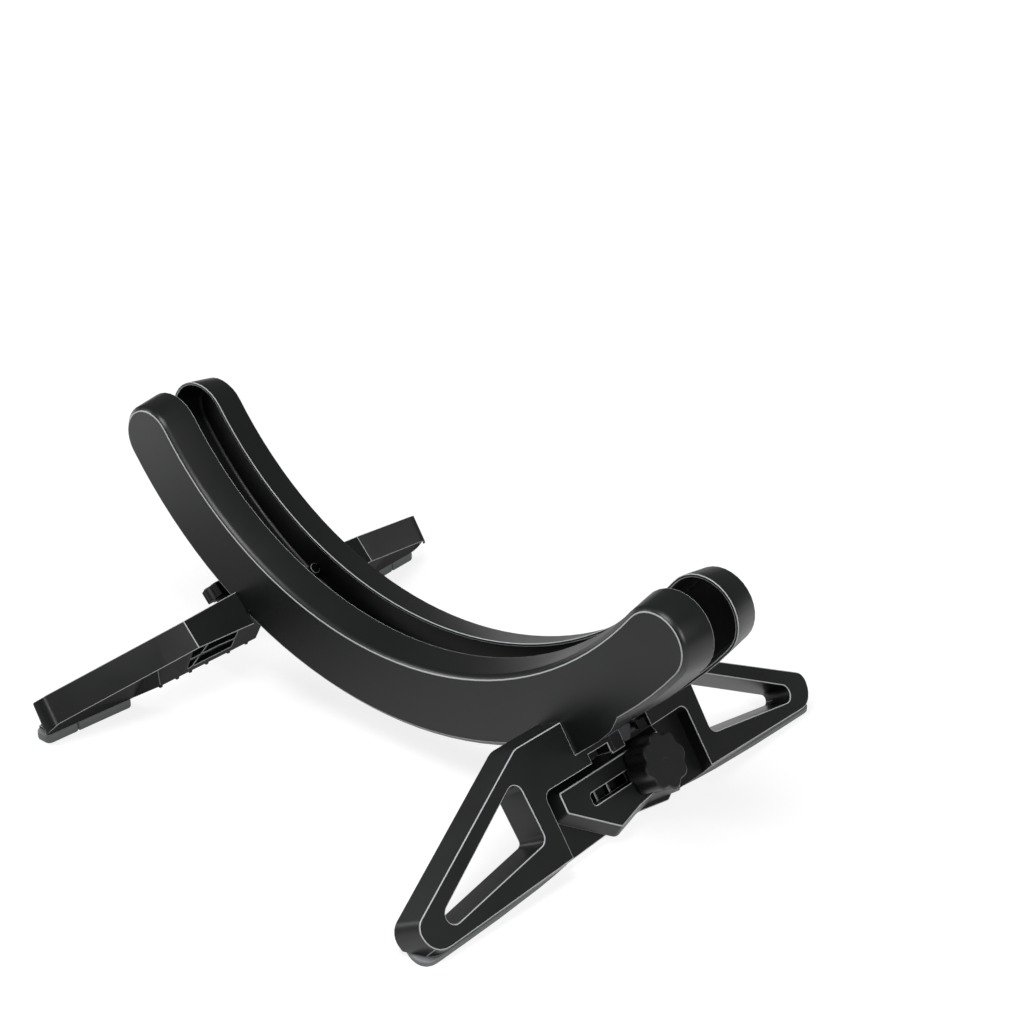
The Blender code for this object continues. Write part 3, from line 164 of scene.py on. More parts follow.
def moulded_plastic(name, colour, pale_colour, roughness, grain_depth):
    """Moulded plastic with a spark-eroded grain, flow marks and a slow change in shine."""
    material, tree, shader, place = new_material(name)
    patches = add_node(tree, "ShaderNodeTexNoise",
                       {"Vector": place, "Scale": noise_scale(SHINE_PATCH_MM), "Detail": 3.0})
    shine = add_node(tree, "ShaderNodeMapRange",
                     {"Value": patches, "From Min": 0.3, "From Max": 0.7,
                      "To Min": roughness - SHINE_CHANGE, "To Max": roughness + SHINE_CHANGE})
    flow = add_node(tree, "ShaderNodeTexNoise",
                    {"Vector": place, "Scale": noise_scale(FLOW_MARK_MM), "Detail": 4.0, "Distortion": 0.6})
    tint = add_node(tree, "ShaderNodeMix", {"Factor": flow, "A": linear(colour), "B": linear(pale_colour)},
                    data_type="RGBA")
    grain = add_node(tree, "ShaderNodeTexNoise",
                     {"Vector": place, "Scale": noise_scale(GRAIN_MM), "Detail": 2.0})
    bump = add_node(tree, "ShaderNodeBump", {"Height": grain, "Strength": 0.3, "Distance": grain_depth})
    tree.links.new(tint.outputs["Result"], shader.inputs["Base Color"])
    tree.links.new(shine.outputs["Result"], shader.inputs["Roughness"])
    tree.links.new(bump.outputs["Normal"], shader.inputs["Normal"])
    shader.inputs["IOR"].default_value = PLASTIC_IOR
    return material


BLACK_PLASTIC = moulded_plastic("black_polypropylene", "#101112", "#181a1a", 0.36, 0.00008)
# Pale corner colour: a painted highlight, a light line along every rounded outer corner.
PAINTED_HIGHLIGHT_CORNER = moulded_plastic("painted_highlight_polypropylene", "#bcbfc1", "#cfd2d4", 0.3, 0.00002)
KNOB_PLASTIC = moulded_plastic("black_nylon", "#161717", "#1e1f1f", 0.44, 0.00012)
GREY_PLASTIC = moulded_plastic("grey_acetal", "#434547", "#4b4d4f", 0.45, 0.0001)
# The shells take black plastic on their faces and the painted highlight on their rounded corners.
SHELL_FINISH = [BLACK_PLASTIC, PAINTED_HIGHLIGHT_CORNER]
print("plastics:", BLACK_PLASTIC.name, PAINTED_HIGHLIGHT_CORNER.name, KNOB_PLASTIC.name, GREY_PLASTIC.name)

# %% [markdown]
# ## Rubber
# The feet are moulded thermoplastic rubber. It is greyer and duller than the plastic, and a bloom that
# comes out of it makes it cloudy. Clouds in the roughness would not show on so dull a surface, so they
# are drawn in the colour. The soft grain is about 0.3 mm wide and is drawn at 1.1 mm, so that it shows.

# %% Rubber
BLOOM_MM = 16.7
RUBBER_GRAIN_MM = 1.1
RUBBER_GRAIN_DEPTH = 0.00015
RUBBER_ROUGHNESS = 0.62


def moulded_rubber(name, colour, bloom_colour):
    """Dull rubber with a fine, soft grain and cloudy patches of bloom."""
    material, tree, shader, place = new_material(name)
    clouds = add_node(tree, "ShaderNodeTexNoise",
                      {"Vector": place, "Scale": noise_scale(BLOOM_MM), "Detail": 5.0})
    tint = add_node(tree, "ShaderNodeMix", {"Factor": clouds, "A": linear(colour), "B": linear(bloom_colour)},
                    data_type="RGBA")
    grain = add_node(tree, "ShaderNodeTexNoise",
                     {"Vector": place, "Scale": noise_scale(RUBBER_GRAIN_MM), "Detail": 3.0})
    bump = add_node(tree, "ShaderNodeBump",
                    {"Height": grain, "Strength": 0.4, "Distance": RUBBER_GRAIN_DEPTH})
    tree.links.new(tint.outputs["Result"], shader.inputs["Base Color"])
    tree.links.new(bump.outputs["Normal"], shader.inputs["Normal"])
    shader.inputs["Roughness"].default_value = RUBBER_ROUGHNESS
    return material


GREY_RUBBER = moulded_rubber("grey_rubber", "#87898a", "#979a9b")
print("rubber:", GREY_RUBBER.name)

# %% [markdown]
# ## Metal
# Screws, bolts and washers are zinc-plated steel, the threaded inserts are turned brass, and the width
# stop's clips are bent from blackened spring steel. Tumbling, turning and blackening all leave faint
# marks. They could be scratches in the mesh, but they have no depth to speak of, so they only make the
# shine uneven. The marks are 0.5 mm wide or less and are drawn at 2.2 mm, so that they show.

# %% Metal
MARK_MM = 2.2
MARK_CHANGE = 0.08


def worked_metal(name, colour, roughness):
    """Plated, turned or blackened metal with faint marks from its making."""
    material, tree, shader, place = new_material(name)
    marks = add_node(tree, "ShaderNodeTexNoise",
                     {"Vector": place, "Scale": noise_scale(MARK_MM), "Detail": 4.0})
    shine = add_node(tree, "ShaderNodeMapRange",
                     {"Value": marks, "From Min": 0.3, "From Max": 0.7,
                      "To Min": roughness - MARK_CHANGE, "To Max": roughness + MARK_CHANGE})
    tree.links.new(shine.outputs["Result"], shader.inputs["Roughness"])
    shader.inputs["Base Color"].default_value = linear(colour)
    shader.inputs["Metallic"].default_value = 1.0
    return material


ZINC_STEEL = worked_metal("zinc_plated_steel", "#b9bbbd", 0.34)
BLACK_STEEL = worked_metal("blackened_spring_steel", "#3a3b3c", 0.34)
BRASS = worked_metal("turned_brass", "#c8a35a", 0.3)
print("metals:", ZINC_STEEL.name, BLACK_STEEL.name, BRASS.name)

# %% [markdown]
# ## Flat faces from triangles
# A moulded part never has a knife edge: every corner has a small radius, and that radius is what catches
# the light. Before a corner can be rounded, the model's loose triangles have to be faces again. They
# could be modelled a second time, but a copy that is welded and merged keeps every size as it is.

# %% Merge a copy's triangles
WELD_DISTANCE = 0.00001
FLAT_ANGLE = math.radians(0.5)
FLUSH_STEP = 0.00016


def merged_copy(node_name, flush_y=None):
    """Copy of a part with its triangles merged; points near the plane at flush_y are put on it."""
    shape = bmesh.new()
    shape.from_mesh(nodes[node_name].data)
    bmesh.ops.remove_doubles(shape, verts=shape.verts[:], dist=WELD_DISTANCE)
    if flush_y is not None:
        for vertex in shape.verts:
            if abs(vertex.co.y - flush_y) < FLUSH_STEP:
                vertex.co.y = flush_y
    bmesh.ops.dissolve_limit(shape, angle_limit=FLAT_ANGLE, use_dissolve_boundaries=False,
                             verts=shape.verts[:], edges=shape.edges[:])
    return shape


def object_from(shape, name):
    """Smooth-shaded object at the origin from a bmesh."""
    mesh = bpy.data.meshes.new(name)
    shape.to_mesh(mesh)
    shape.free()
    mesh.shade_smooth()
    piece = bpy.data.objects.new(name, mesh)
    bpy.context.scene.collection.objects.link(piece)
    return piece


print("triangles in the near rail:", len(nodes["right_rail"].data.polygons))

# %% [markdown]
# ## Which corners are round
# A Bevel that is limited by angle alone would round the steps of a curved face too, and two radii would
# run into each other where a face is narrow. So each outer corner gets a weight: full where there is
# room beside it, less beside a narrow face, and none on the steps of a curve, which shade smoothly.
# Inner corners stay sharp, as the edges of the mould's inserts leave them.

# %% Weigh the corners
CORNER_ANGLE = math.radians(32)
CREASE_ANGLE = math.radians(20)
BEND_ANGLE = math.radians(10)
SOFT_ANGLE = math.radians(60)
LONG_FACE = 0.012
LEAVING_SHARE = 0.35
ROOM_SHARE = 0.45
SQUARE_TO_Y = 0.95


def room_beside(edge, face):
    """How far a face runs away from one of its edges, by the shortest of the edges that lead off it."""
    way = (edge.verts[1].co - edge.verts[0].co).normalized()
    room = LONG_FACE
    for other in face.edges:
        if other is edge or not set(other.verts) & set(edge.verts):
            continue
        span = other.verts[1].co - other.verts[0].co
        across = (span - way * span.dot(way)).length
        if across > LEAVING_SHARE * span.length:
            room = min(room, across)
    return room


def weigh_corners(shape, radius, soft_shoulder=False, radius_share=None):
    """Give each outer corner a bevel weight, smaller beside narrow faces, and mark the inner ones sharp.

    With a soft shoulder, blunt corners that touch no face square to Y are left to smooth shading.
    The radius share function says how much of the radius a corner at a point gets, from 0 to 1; where the
    corners take the pale material, that also sets how wide the painted highlight is.
    """
    weights = shape.edges.layers.float.new("bevel_weight_edge")
    for edge in shape.edges:
        if len(edge.link_faces) != 2:
            continue
        angle = edge.calc_face_angle_signed(0.0)
        square = any(abs(face.normal.y) > SQUARE_TO_Y for face in edge.link_faces)
        if soft_shoulder and abs(angle) < SOFT_ANGLE and not square:
            continue
        room = min(room_beside(edge, face) for face in edge.link_faces)
        crease = angle > CREASE_ANGLE and room >= LONG_FACE
        share = radius_share((edge.verts[0].co + edge.verts[1].co) / 2) if radius_share else 1.0
        if share == 0.0:
            edge.smooth = abs(angle) < BEND_ANGLE
        elif angle > CORNER_ANGLE or crease:
            edge[weights] = share * min(1.0, ROOM_SHARE * room / radius)
        elif angle < -CORNER_ANGLE or (abs(angle) > BEND_ANGLE and room >= LONG_FACE):
            edge.smooth = False


print("corners sharper than", round(math.degrees(CORNER_ANGLE)), "degrees are rounded")

# %% [markdown]
# ## Rails, wings, legs and the width stop
# These are the moulded parts and the bent clips. Each copy is welded, weighed and bevelled, and on the rails,
# wings and legs the Bevel paints the new round faces with the pale material, a painted highlight. Radii run
# from 0.2 mm on the thin clips to 0.8 mm on the wings. The painted highlight fades on the foot under each
# rail, so its corners there are smaller, and the inner end of each leg meets the rail or passes under it, so
# its corners are left alone.

# %% Round the moulded parts
CORNER_STEPS = 3
FLATNESS = 80
RAIL_CORNER = 0.0007
WING_CORNER = 0.0008
LEG_CORNER = 0.0006
CLIP_CORNER = 0.0002
STOP_CORNER = 0.0008
RAIL_FOOT_X = 0.20
RAIL_FOOT_Z = 0.155
RAIL_FOOT_SHARE = 0.3
LEG_ROOT_Y = 0.057


def rail_share(point):
    """Share of the radius on a rail: less on its foot, where the painted highlight on its corners fades."""
    return RAIL_FOOT_SHARE if point.x > RAIL_FOOT_X and point.z < RAIL_FOOT_Z else 1.0


def leg_share(point):
    """Share of the radius on a leg: none on its inner end."""
    return 0.0 if abs(point.y) < LEG_ROOT_Y else 1.0


def add_corner_radius(piece, radius, material_index, segments=CORNER_STEPS):
    """Bevel the weighted corners and shade wide faces flat."""
    corner = piece.modifiers.new("corner radius", "BEVEL")
    corner.width = radius
    corner.segments = segments
    corner.limit_method = "WEIGHT"
    corner.use_clamp_overlap = False
    corner.material = material_index
    shade = piece.modifiers.new("flat faces", "WEIGHTED_NORMAL")
    shade.weight = FLATNESS
    shade.keep_sharp = True


def put_on_body(piece, materials, slot, *replaced):
    """Let a finished piece stand for model parts, with their body and its materials. The slot argument is not
    used.
    """
    piece.data.materials.clear()
    for material in materials:
        piece.data.materials.append(material)
    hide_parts(*replaced)
    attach(piece, nodes[replaced[0]]["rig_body"])


def rounded_copy(node_name, radius, material_index=0, segments=CORNER_STEPS, flush_y=None, radius_share=None):
    """Copy of a part with rounded corners; the material index says which finish the corners take."""
    shape = merged_copy(node_name, flush_y)
    weigh_corners(shape, radius, flush_y is not None, radius_share)
    piece = object_from(shape, f"{node_name}_rounded")
    add_corner_radius(piece, radius, material_index, segments)
    return piece


for side in ("right", "left"):
    rail_low, rail_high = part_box(f"{side}_rail")
    flat_face_y = rail_low.y if side == "right" else rail_high.y
    rail = rounded_copy(f"{side}_rail", RAIL_CORNER, 1, flush_y=flat_face_y, radius_share=rail_share)
    wing = rounded_copy(f"{side}_front_wing", WING_CORNER, 1)
    leg = rounded_copy(f"{side}_rear_leg", LEG_CORNER, 1, radius_share=leg_share)
    for piece, part in ((rail, "rail"), (wing, "front_wing"), (leg, "rear_leg")):
        put_on_body(piece, SHELL_FINISH, f"{side}_{part}", f"{side}_{part}")
    clip = rounded_copy(f"{side}_stop_clip", CLIP_CORNER)
    put_on_body(clip, [BLACK_STEEL], "stop_clips", f"{side}_stop_clip")
stop = rounded_copy("width_stop_block", STOP_CORNER)
put_on_body(stop, [GREY_PLASTIC], "stop_block", "width_stop_block")

# %% [markdown]
# ## Shapes from rules
# Knobs, screws, ribs and the grooves under the feet repeat a simple rule. They could be drawn one by one,
# but a Geometry Nodes tree with a named input for each size holds the rule itself, and serves every copy.
# A tree runs once, and the plain mesh that it made is kept.

# %% Helpers for shape trees
SEAM_DISTANCE = 0.000001


def shape_tree(name, sizes):
    """Tree with a named input for each size, and the outputs of its input node."""
    tree = bpy.data.node_groups.new(name, "GeometryNodeTree")
    tree.interface.new_socket("Geometry", in_out="INPUT", socket_type="NodeSocketGeometry")
    for label, value in sizes.items():
        kind = "NodeSocketInt" if isinstance(value, int) else "NodeSocketFloat"
        tree.interface.new_socket(label, in_out="INPUT", socket_type=kind).default_value = value
    tree.interface.new_socket("Geometry", in_out="OUTPUT", socket_type="NodeSocketGeometry")
    return tree, add_node(tree, "NodeGroupInput").outputs


def end_tree(tree, geometry, material):
    """Turn instances into real faces, give them their material and send them out."""
    real = add_node(tree, "GeometryNodeRealizeInstances", {"Geometry": geometry})
    painted = add_node(tree, "GeometryNodeSetMaterial", {"Geometry": real, "Material": material})
    add_node(tree, "NodeGroupOutput", {"Geometry": painted})
    return tree


def run_tree(name, tree, sizes, start=None):
    """Object at the origin with the plain mesh that a tree made from its sizes and a start object."""
    maker = start or object_from(bmesh.new(), name)
    steps = maker.modifiers.new("shape", "NODES")
    steps.node_group = tree
    for socket in tree.interface.items_tree:
        if socket.in_out == "INPUT" and socket.name in sizes:
            steps[socket.identifier] = sizes[socket.name]
    bpy.context.view_layer.update()
    plain = bpy.data.meshes.new_from_object(maker.evaluated_get(bpy.context.evaluated_depsgraph_get()))
    maker.modifiers.clear()
    maker.data = plain
    maker.name = name
    return maker


def pulled_solid(tree, face, steps):
    """Solid from a flat face that is pulled up step by step, each by a rise and to a share of its size."""
    shape, top = face, True
    for rise, share in steps:
        pulled = add_node(tree, "GeometryNodeExtrudeMesh",
                          {"Mesh": shape, "Selection": top, "Offset Scale": rise, "Individual": False},
                          mode="FACES")
        top = pulled.outputs["Top"]
        shape = add_node(tree, "GeometryNodeScaleElements",
                         {"Geometry": pulled, "Selection": top, "Scale": share})
    under = add_node(tree, "GeometryNodeFlipFaces", {"Mesh": face})
    both = add_node(tree, "GeometryNodeJoinGeometry", {"Geometry": [shape, under]})
    return add_node(tree, "GeometryNodeMergeByDistance", {"Geometry": both, "Distance": SEAM_DISTANCE})


def upright_rod(tree, radius, low, length, sides):
    """Rod in a tree that stands on a level."""
    rod = add_node(tree, "GeometryNodeMeshCylinder", {"Vertices": sides, "Radius": radius, "Depth": length})
    middle = add_node(tree, "ShaderNodeMath", {0: length, 1: 0.5, 2: low}, operation="MULTIPLY_ADD")
    lift = add_node(tree, "ShaderNodeCombineXYZ", {"Z": middle})
    return add_node(tree, "GeometryNodeTransform", {"Geometry": rod, "Translation": lift})


print("shape trees so far:", len(bpy.data.node_groups))

# %% [markdown]
# ## Knobs
# A clamp knob is nylon, moulded round a brass insert. Its grip is a circle whose radius dips at eight
# places. Eight cut-out cylinders would leave sharp horns, so the dip follows a cosine raised to a power,
# which leaves wide lobes and narrower hollows. The tree bends a circle by that rule, fills it, and pulls
# it up to a flat crown with a small sunk disc where the plastic was fed in. Then it adds the hub and
# bores it for the insert and the bolt.

# %% Knob tree
KNOB_SIZES = {"Lobes": 8, "Radius": 0.0275, "Hollow": 0.0034, "Power": 1.5, "Height": 0.026,
              "Crown": 0.0012, "Crown share": 0.94, "Disc share": 0.12, "Disc depth": 0.0003,
              "Hub radius": 0.0095, "Hub height": 0.0, "Bore radius": 0.0065, "Bore depth": 0.016,
              "Bolt radius": 0.0046, "Bolt depth": 0.02}
DISC_FLOOR_SHARE = 0.9
KNOB_SIDES = 192
BORE_SIDES = 48
CUT_OVER = 0.001


def lobed_face(tree, size):
    """Flat face whose outline dips at each hollow."""
    circle = add_node(tree, "GeometryNodeCurvePrimitiveCircle", {"Resolution": KNOB_SIDES, "Radius": 1.0})
    place = add_node(tree, "GeometryNodeInputPosition")
    split = add_node(tree, "ShaderNodeSeparateXYZ", {"Vector": place})
    angle = add_node(tree, "ShaderNodeMath", {0: split.outputs["Y"], 1: split.outputs["X"]},
                     operation="ARCTAN2")
    turn = add_node(tree, "ShaderNodeMath", {0: angle, 1: size["Lobes"]}, operation="MULTIPLY")
    wave = add_node(tree, "ShaderNodeMath", {0: turn}, operation="COSINE")
    dip = add_node(tree, "ShaderNodeMath", {0: wave, 1: -0.5, 2: 0.5}, operation="MULTIPLY_ADD")
    narrow_dip = add_node(tree, "ShaderNodeMath", {0: dip, 1: size["Power"]}, operation="POWER")
    depth = add_node(tree, "ShaderNodeMath", {0: narrow_dip, 1: size["Hollow"]}, operation="MULTIPLY")
    reach = add_node(tree, "ShaderNodeMath", {0: size["Radius"], 1: depth}, operation="SUBTRACT")
    spot = add_node(tree, "ShaderNodeVectorMath", {0: place, "Scale": reach}, operation="SCALE")
    outline = add_node(tree, "GeometryNodeSetPosition", {"Geometry": circle, "Position": spot})
    return add_node(tree, "GeometryNodeFillCurve", {"Curve": outline}, mode="NGONS")


def knob_tree():
    """Tree of a knob that stands on its hub at level 0."""
    tree, size = shape_tree("knob", KNOB_SIZES)
    side = add_node(tree, "ShaderNodeMath", {0: size["Height"], 1: size["Crown"]}, operation="SUBTRACT")
    sink = add_node(tree, "ShaderNodeMath", {0: size["Disc depth"], 1: -1.0}, operation="MULTIPLY")
    grip = pulled_solid(tree, lobed_face(tree, size),
                        ((side, 1.0), (size["Crown"], size["Crown share"]), (0.0, size["Disc share"]),
                         (sink, DISC_FLOOR_SHARE)))
    lift = add_node(tree, "ShaderNodeCombineXYZ", {"Z": size["Hub height"]})
    lifted = add_node(tree, "GeometryNodeTransform", {"Geometry": grip, "Translation": lift})
    hub_length = add_node(tree, "ShaderNodeMath", {0: size["Hub height"], 1: 2 * CUT_OVER}, operation="ADD")
    hub = upright_rod(tree, size["Hub radius"], 0.0, hub_length, BORE_SIDES)
    solid = add_node(tree, "GeometryNodeMeshBoolean", {"Mesh 2": [lifted, hub]},
                     operation="UNION", solver="EXACT")
    bore_length = add_node(tree, "ShaderNodeMath", {0: size["Bore depth"], 1: CUT_OVER}, operation="ADD")
    for hole in (upright_rod(tree, size["Bore radius"], -CUT_OVER, bore_length, BORE_SIDES),
                 upright_rod(tree, size["Bolt radius"], CUT_OVER, size["Bolt depth"], BORE_SIDES)):
        solid = add_node(tree, "GeometryNodeMeshBoolean", {"Mesh 1": solid, "Mesh 2": hole},
                         operation="DIFFERENCE", solver="EXACT")
    return end_tree(tree, solid, KNOB_PLASTIC)


KNOB_TREE = knob_tree()
print("nodes in the knob tree:", len(KNOB_TREE.nodes))

# %% [markdown]
# ## Both knobs
# The front knob is the large one. The rear knob is smaller and stands on a hub, clear of the legs' edge.
# Each takes its radius and its height from the model's knob, so that it fits the same bolt and insert, and is
# turned onto the axis of its joint. The corners are rounded but get no pale painted highlight.

# %% Knobs
KNOB_CORNER = 0.00022
HUB_HEIGHTS = {"front_clamp": 0.0, "rear_clamp": 0.0068}
INSERT_ROOM = 0.0003
BOLT_ROOM = 0.0004


def turned_to(axis, anchor):
    """Placement at a point with Z along an axis."""
    return Matrix.Translation(anchor) @ Vector(axis).to_track_quat("Z", "Y").to_matrix().to_4x4()


def along(node_name, axis, anchor):
    """Lowest and highest level of a part along an axis, and its greatest radius round it."""
    offsets = [vertex.co - anchor for vertex in nodes[node_name].data.vertices]
    levels = [offset.dot(axis) for offset in offsets]
    radius = max((offset - axis * level).length for offset, level in zip(offsets, levels))
    return min(levels), max(levels), radius


for clamp, hub_height in HUB_HEIGHTS.items():
    axis, anchor = [Vector(joints[f"{clamp}_turn"][key]) for key in ("axis", "pos_m")]
    low, high, radius = along(f"{clamp}_knob", axis, anchor)
    insert_high = along(f"{clamp}_insert", axis, anchor)[1]
    bolt_high = along(f"{clamp}_bolt", axis, anchor)[1]
    plain = run_tree(f"{clamp}_knob_plain", KNOB_TREE, {
        **KNOB_SIZES, "Radius": radius, "Height": high - low - hub_height, "Hub height": hub_height,
        "Bore depth": insert_high - low + INSERT_ROOM, "Bolt depth": bolt_high - low + BOLT_ROOM})
    shape = bmesh.new()
    shape.from_mesh(plain.data)
    bpy.data.objects.remove(plain)
    shape.transform(turned_to(axis, anchor + axis * low))
    weigh_corners(shape, KNOB_CORNER)
    knob = object_from(shape, f"{clamp}_knob_moulded")
    add_corner_radius(knob, KNOB_CORNER, 0)
    put_on_body(knob, [KNOB_PLASTIC], "clamp_knobs", f"{clamp}_knob")
    print(knob.name, "radius in mm:", round(1000 * radius, 1))

# %% [markdown]
# ## Screws
# Pan-head machine screws with a cross recess hold each wing and leg to its rail. All are one shape:
# a cold-formed head with a rounded crown, two crossed slots pressed into it, and a shank. Eight separate
# screws could be modelled, but one tree makes the shape once and places it on points, and each point
# carries the way that its screw's head faces. Threads are left out, because the plastic hides them.

# %% Screw tree
SCREW_SIZES = {"Head radius": 0.004, "Head height": 0.0028, "Shank radius": 0.0025, "Shank length": 0.04,
               "Recess length": 0.0042, "Recess width": 0.0009, "Recess depth": 0.0015}
HEAD_STEPS = ((0.5, 1.0), (0.3, 0.93), (0.2, 0.8))
HEAD_SIDES = 40
SHANK_SIDES = 24


def screw_tree():
    """Tree that puts a screw on each point, with its crown at the point and facing the point's way."""
    tree, size = shape_tree("screws", SCREW_SIZES)
    circle = add_node(tree, "GeometryNodeMeshCircle",
                      {"Vertices": HEAD_SIDES, "Radius": size["Head radius"]}, fill_type="NGON")
    rises = [add_node(tree, "ShaderNodeMath", {0: size["Head height"], 1: rise}, operation="MULTIPLY")
             for rise, share in HEAD_STEPS]
    head = pulled_solid(tree, circle, [(rise, share) for rise, (_, share) in zip(rises, HEAD_STEPS)])
    drop = add_node(tree, "ShaderNodeMath", {0: size["Head height"], 1: -1.0}, operation="MULTIPLY")
    down = add_node(tree, "ShaderNodeCombineXYZ", {"Z": drop})
    head = add_node(tree, "GeometryNodeTransform", {"Geometry": head, "Translation": down})
    low = add_node(tree, "ShaderNodeMath", {0: size["Shank length"], 1: -1.0}, operation="MULTIPLY")
    length = add_node(tree, "ShaderNodeMath", {0: size["Shank length"], 1: rises[0]}, operation="SUBTRACT")
    shank = upright_rod(tree, size["Shank radius"], low, length, SHANK_SIDES)
    screw = add_node(tree, "GeometryNodeMeshBoolean", {"Mesh 2": [head, shank]},
                     operation="UNION", solver="EXACT")
    deep = add_node(tree, "ShaderNodeMath", {0: size["Recess depth"], 1: 2.0}, operation="MULTIPLY")
    for long_side, short_side in (("Recess length", "Recess width"), ("Recess width", "Recess length")):
        block = add_node(tree, "ShaderNodeCombineXYZ",
                         {"X": size[long_side], "Y": size[short_side], "Z": deep})
        slot = add_node(tree, "GeometryNodeMeshCube", {"Size": block})
        screw = add_node(tree, "GeometryNodeMeshBoolean", {"Mesh 1": screw, "Mesh 2": slot},
                         operation="DIFFERENCE", solver="EXACT")
    way = add_node(tree, "GeometryNodeInputNamedAttribute", {"Name": "way"}, data_type="FLOAT_VECTOR")
    turn = add_node(tree, "FunctionNodeAlignRotationToVector", {"Vector": way}, axis="Z")
    placed = add_node(tree, "GeometryNodeInstanceOnPoints",
                      {"Points": size["Geometry"], "Instance": screw, "Rotation": turn})
    return end_tree(tree, placed, ZINC_STEEL)


SCREW_TREE = screw_tree()
print("nodes in the screw tree:", len(SCREW_TREE.nodes))

# %% [markdown]
# ## Screws in their places
# The model's screws say where each one sits: its wide end is the head and its narrow end the tip. The way
# from the tip to the head and the height of the crown are read from it. Screws that sit on the same
# moulded part become one mesh.

# %% Screws
END_REACH = 2.2 * SCREW_SIZES["Head radius"]


def screw_ends(node_name):
    """Middle of a screw's head end and middle of its other end."""
    places = [vertex.co for vertex in nodes[node_name].data.vertices]
    one_tip = max(places, key=lambda place: (place - places[0]).length)
    other_tip = max(places, key=lambda place: (place - one_tip).length)
    ends = []
    for tip in (one_tip, other_tip):
        ring = [place for place in places if (place - tip).length < END_REACH]
        middle = sum(ring, Vector()) / len(ring)
        ends.append((max((place - middle).length for place in ring), middle))
    ends.sort(key=lambda end: end[0])
    return ends[1][1], ends[0][1]


def loose_points(name, places, ways=()):
    """Object of loose points, each with the way it faces where that matters."""
    mesh = bpy.data.meshes.new(name)
    mesh.from_pydata(places, [], [])
    layer = mesh.attributes.new("way", "FLOAT_VECTOR", "POINT")
    for item, way in zip(layer.data, ways):
        item.vector = way
    holder = bpy.data.objects.new(name, mesh)
    bpy.context.scene.collection.objects.link(holder)
    return holder


for side in ("right", "left"):
    for part in ("wing", "leg"):
        names = [f"{side}_{part}_screw_{number}" for number in (1, 2)]
        ends = [screw_ends(name) for name in names]
        ways = [(head - tip).normalized() for head, tip in ends]
        crowns = []
        for name, (head, tip), way in zip(names, ends, ways):
            levels = [(vertex.co - head).dot(way) for vertex in nodes[name].data.vertices]
            crowns.append(head + way * max(levels))
        length = max(levels) - min(levels)
        start = loose_points(f"{side}_{part}_screws", crowns, ways)
        screws = run_tree(f"{side}_{part}_screws", SCREW_TREE, {"Shank length": length}, start)
        put_on_body(screws, [ZINC_STEEL], "fasteners", *names)
        print(screws.name, "length in mm:", round(1000 * length, 1))

# %% [markdown]
# ## Bolts, washers and inserts
# These sit inside the clamps, where little of them is seen. Their solids are round enough as they are, so
# they stay, and only take the finish of plated steel or of brass.

# %% Finish the fasteners that stay
METALS = {"bolt": ZINC_STEEL, "washer": ZINC_STEEL, "insert": BRASS}
for clamp in HUB_HEIGHTS:
    for part, metal in METALS.items():
        for slot in nodes[f"{clamp}_{part}"].material_slots:
            slot.material = metal
print("parts that keep their solid:", len(HUB_HEIGHTS) * len(METALS))

# %% [markdown]
# ## Grooves under the feet
# Short grooves under each rubber foot grip the floor. A bump in the material would not show from the
# side, so a tree cuts them: a row of blocks between two points, taken from the underside of the foot.

# %% Groove tree
GROOVE_SIZES = {"Count": 8, "First Y": -0.11, "Last Y": -0.25, "First X": 0.25, "Last X": 0.25,
                "Length": 0.01, "Width": 0.0015, "Depth": 0.001}


def groove_tree():
    """Tree that cuts a row of short grooves into the underside of a foot."""
    tree, size = shape_tree("grooves", GROOVE_SIZES)
    first, last = [add_node(tree, "ShaderNodeCombineXYZ", {"X": size[f"{end} X"], "Y": size[f"{end} Y"]})
                   for end in ("First", "Last")]
    line = add_node(tree, "GeometryNodeMeshLine",
                    {"Count": size["Count"], "Start Location": first, "Offset": last},
                    mode="END_POINTS", count_mode="TOTAL")
    deep = add_node(tree, "ShaderNodeMath", {0: size["Depth"], 1: 2.0}, operation="MULTIPLY")
    block = add_node(tree, "ShaderNodeCombineXYZ", {"X": size["Length"], "Y": size["Width"], "Z": deep})
    groove = add_node(tree, "GeometryNodeMeshCube", {"Size": block})
    row = add_node(tree, "GeometryNodeInstanceOnPoints", {"Points": line, "Instance": groove})
    tools = add_node(tree, "GeometryNodeRealizeInstances", {"Geometry": row})
    cut = add_node(tree, "GeometryNodeMeshBoolean", {"Mesh 1": size["Geometry"], "Mesh 2": tools},
                   operation="DIFFERENCE", solver="EXACT")
    return end_tree(tree, cut, GREY_RUBBER)


GROOVE_TREE = groove_tree()
print("nodes in the groove tree:", len(GROOVE_TREE.nodes))

# %% [markdown]
# ## Feet
# The feet are rubber blocks pressed into the wings and legs, with a generous radius on their corners.
# The rear ones are rounded copies. The front one follows the wing's edge and bends round its tip, where
# it shows as a paler line. A copy of the model's straight strip would miss that bend, so it is drawn
# anew from its outline, in millimetres, and pulled up to its height.

# %% Feet
FRONT_FOOT_TOP = 0.005
FRONT_FOOT_CORNER = 0.0012
REAR_FOOT_CORNER = 0.0024
REAR_FOOT_STEPS = 4
FRONT_FOOT_OUTLINE = [(256.0, -85.0), (258.6, -105.0), (261.0, -130.0), (264.2, -186.0), (265.4, -226.0),
                      (266.2, -262.0), (266.2, -268.0), (265.4, -273.0), (262.8, -277.4), (258.4, -279.6),
                      (253.0, -280.0), (247.0, -278.8), (241.0, -276.4), (233.0, -272.4), (236.5, -266.5),
                      (243.0, -269.6), (248.0, -268.0), (249.8, -262.0), (249.6, -254.0), (246.4, -110.0),
                      (247.4, -86.0)]
GROOVE_END_MARGIN = 0.010
GROOVE_SIDE_MARGIN = 0.003
GROOVE_PITCH = 0.004


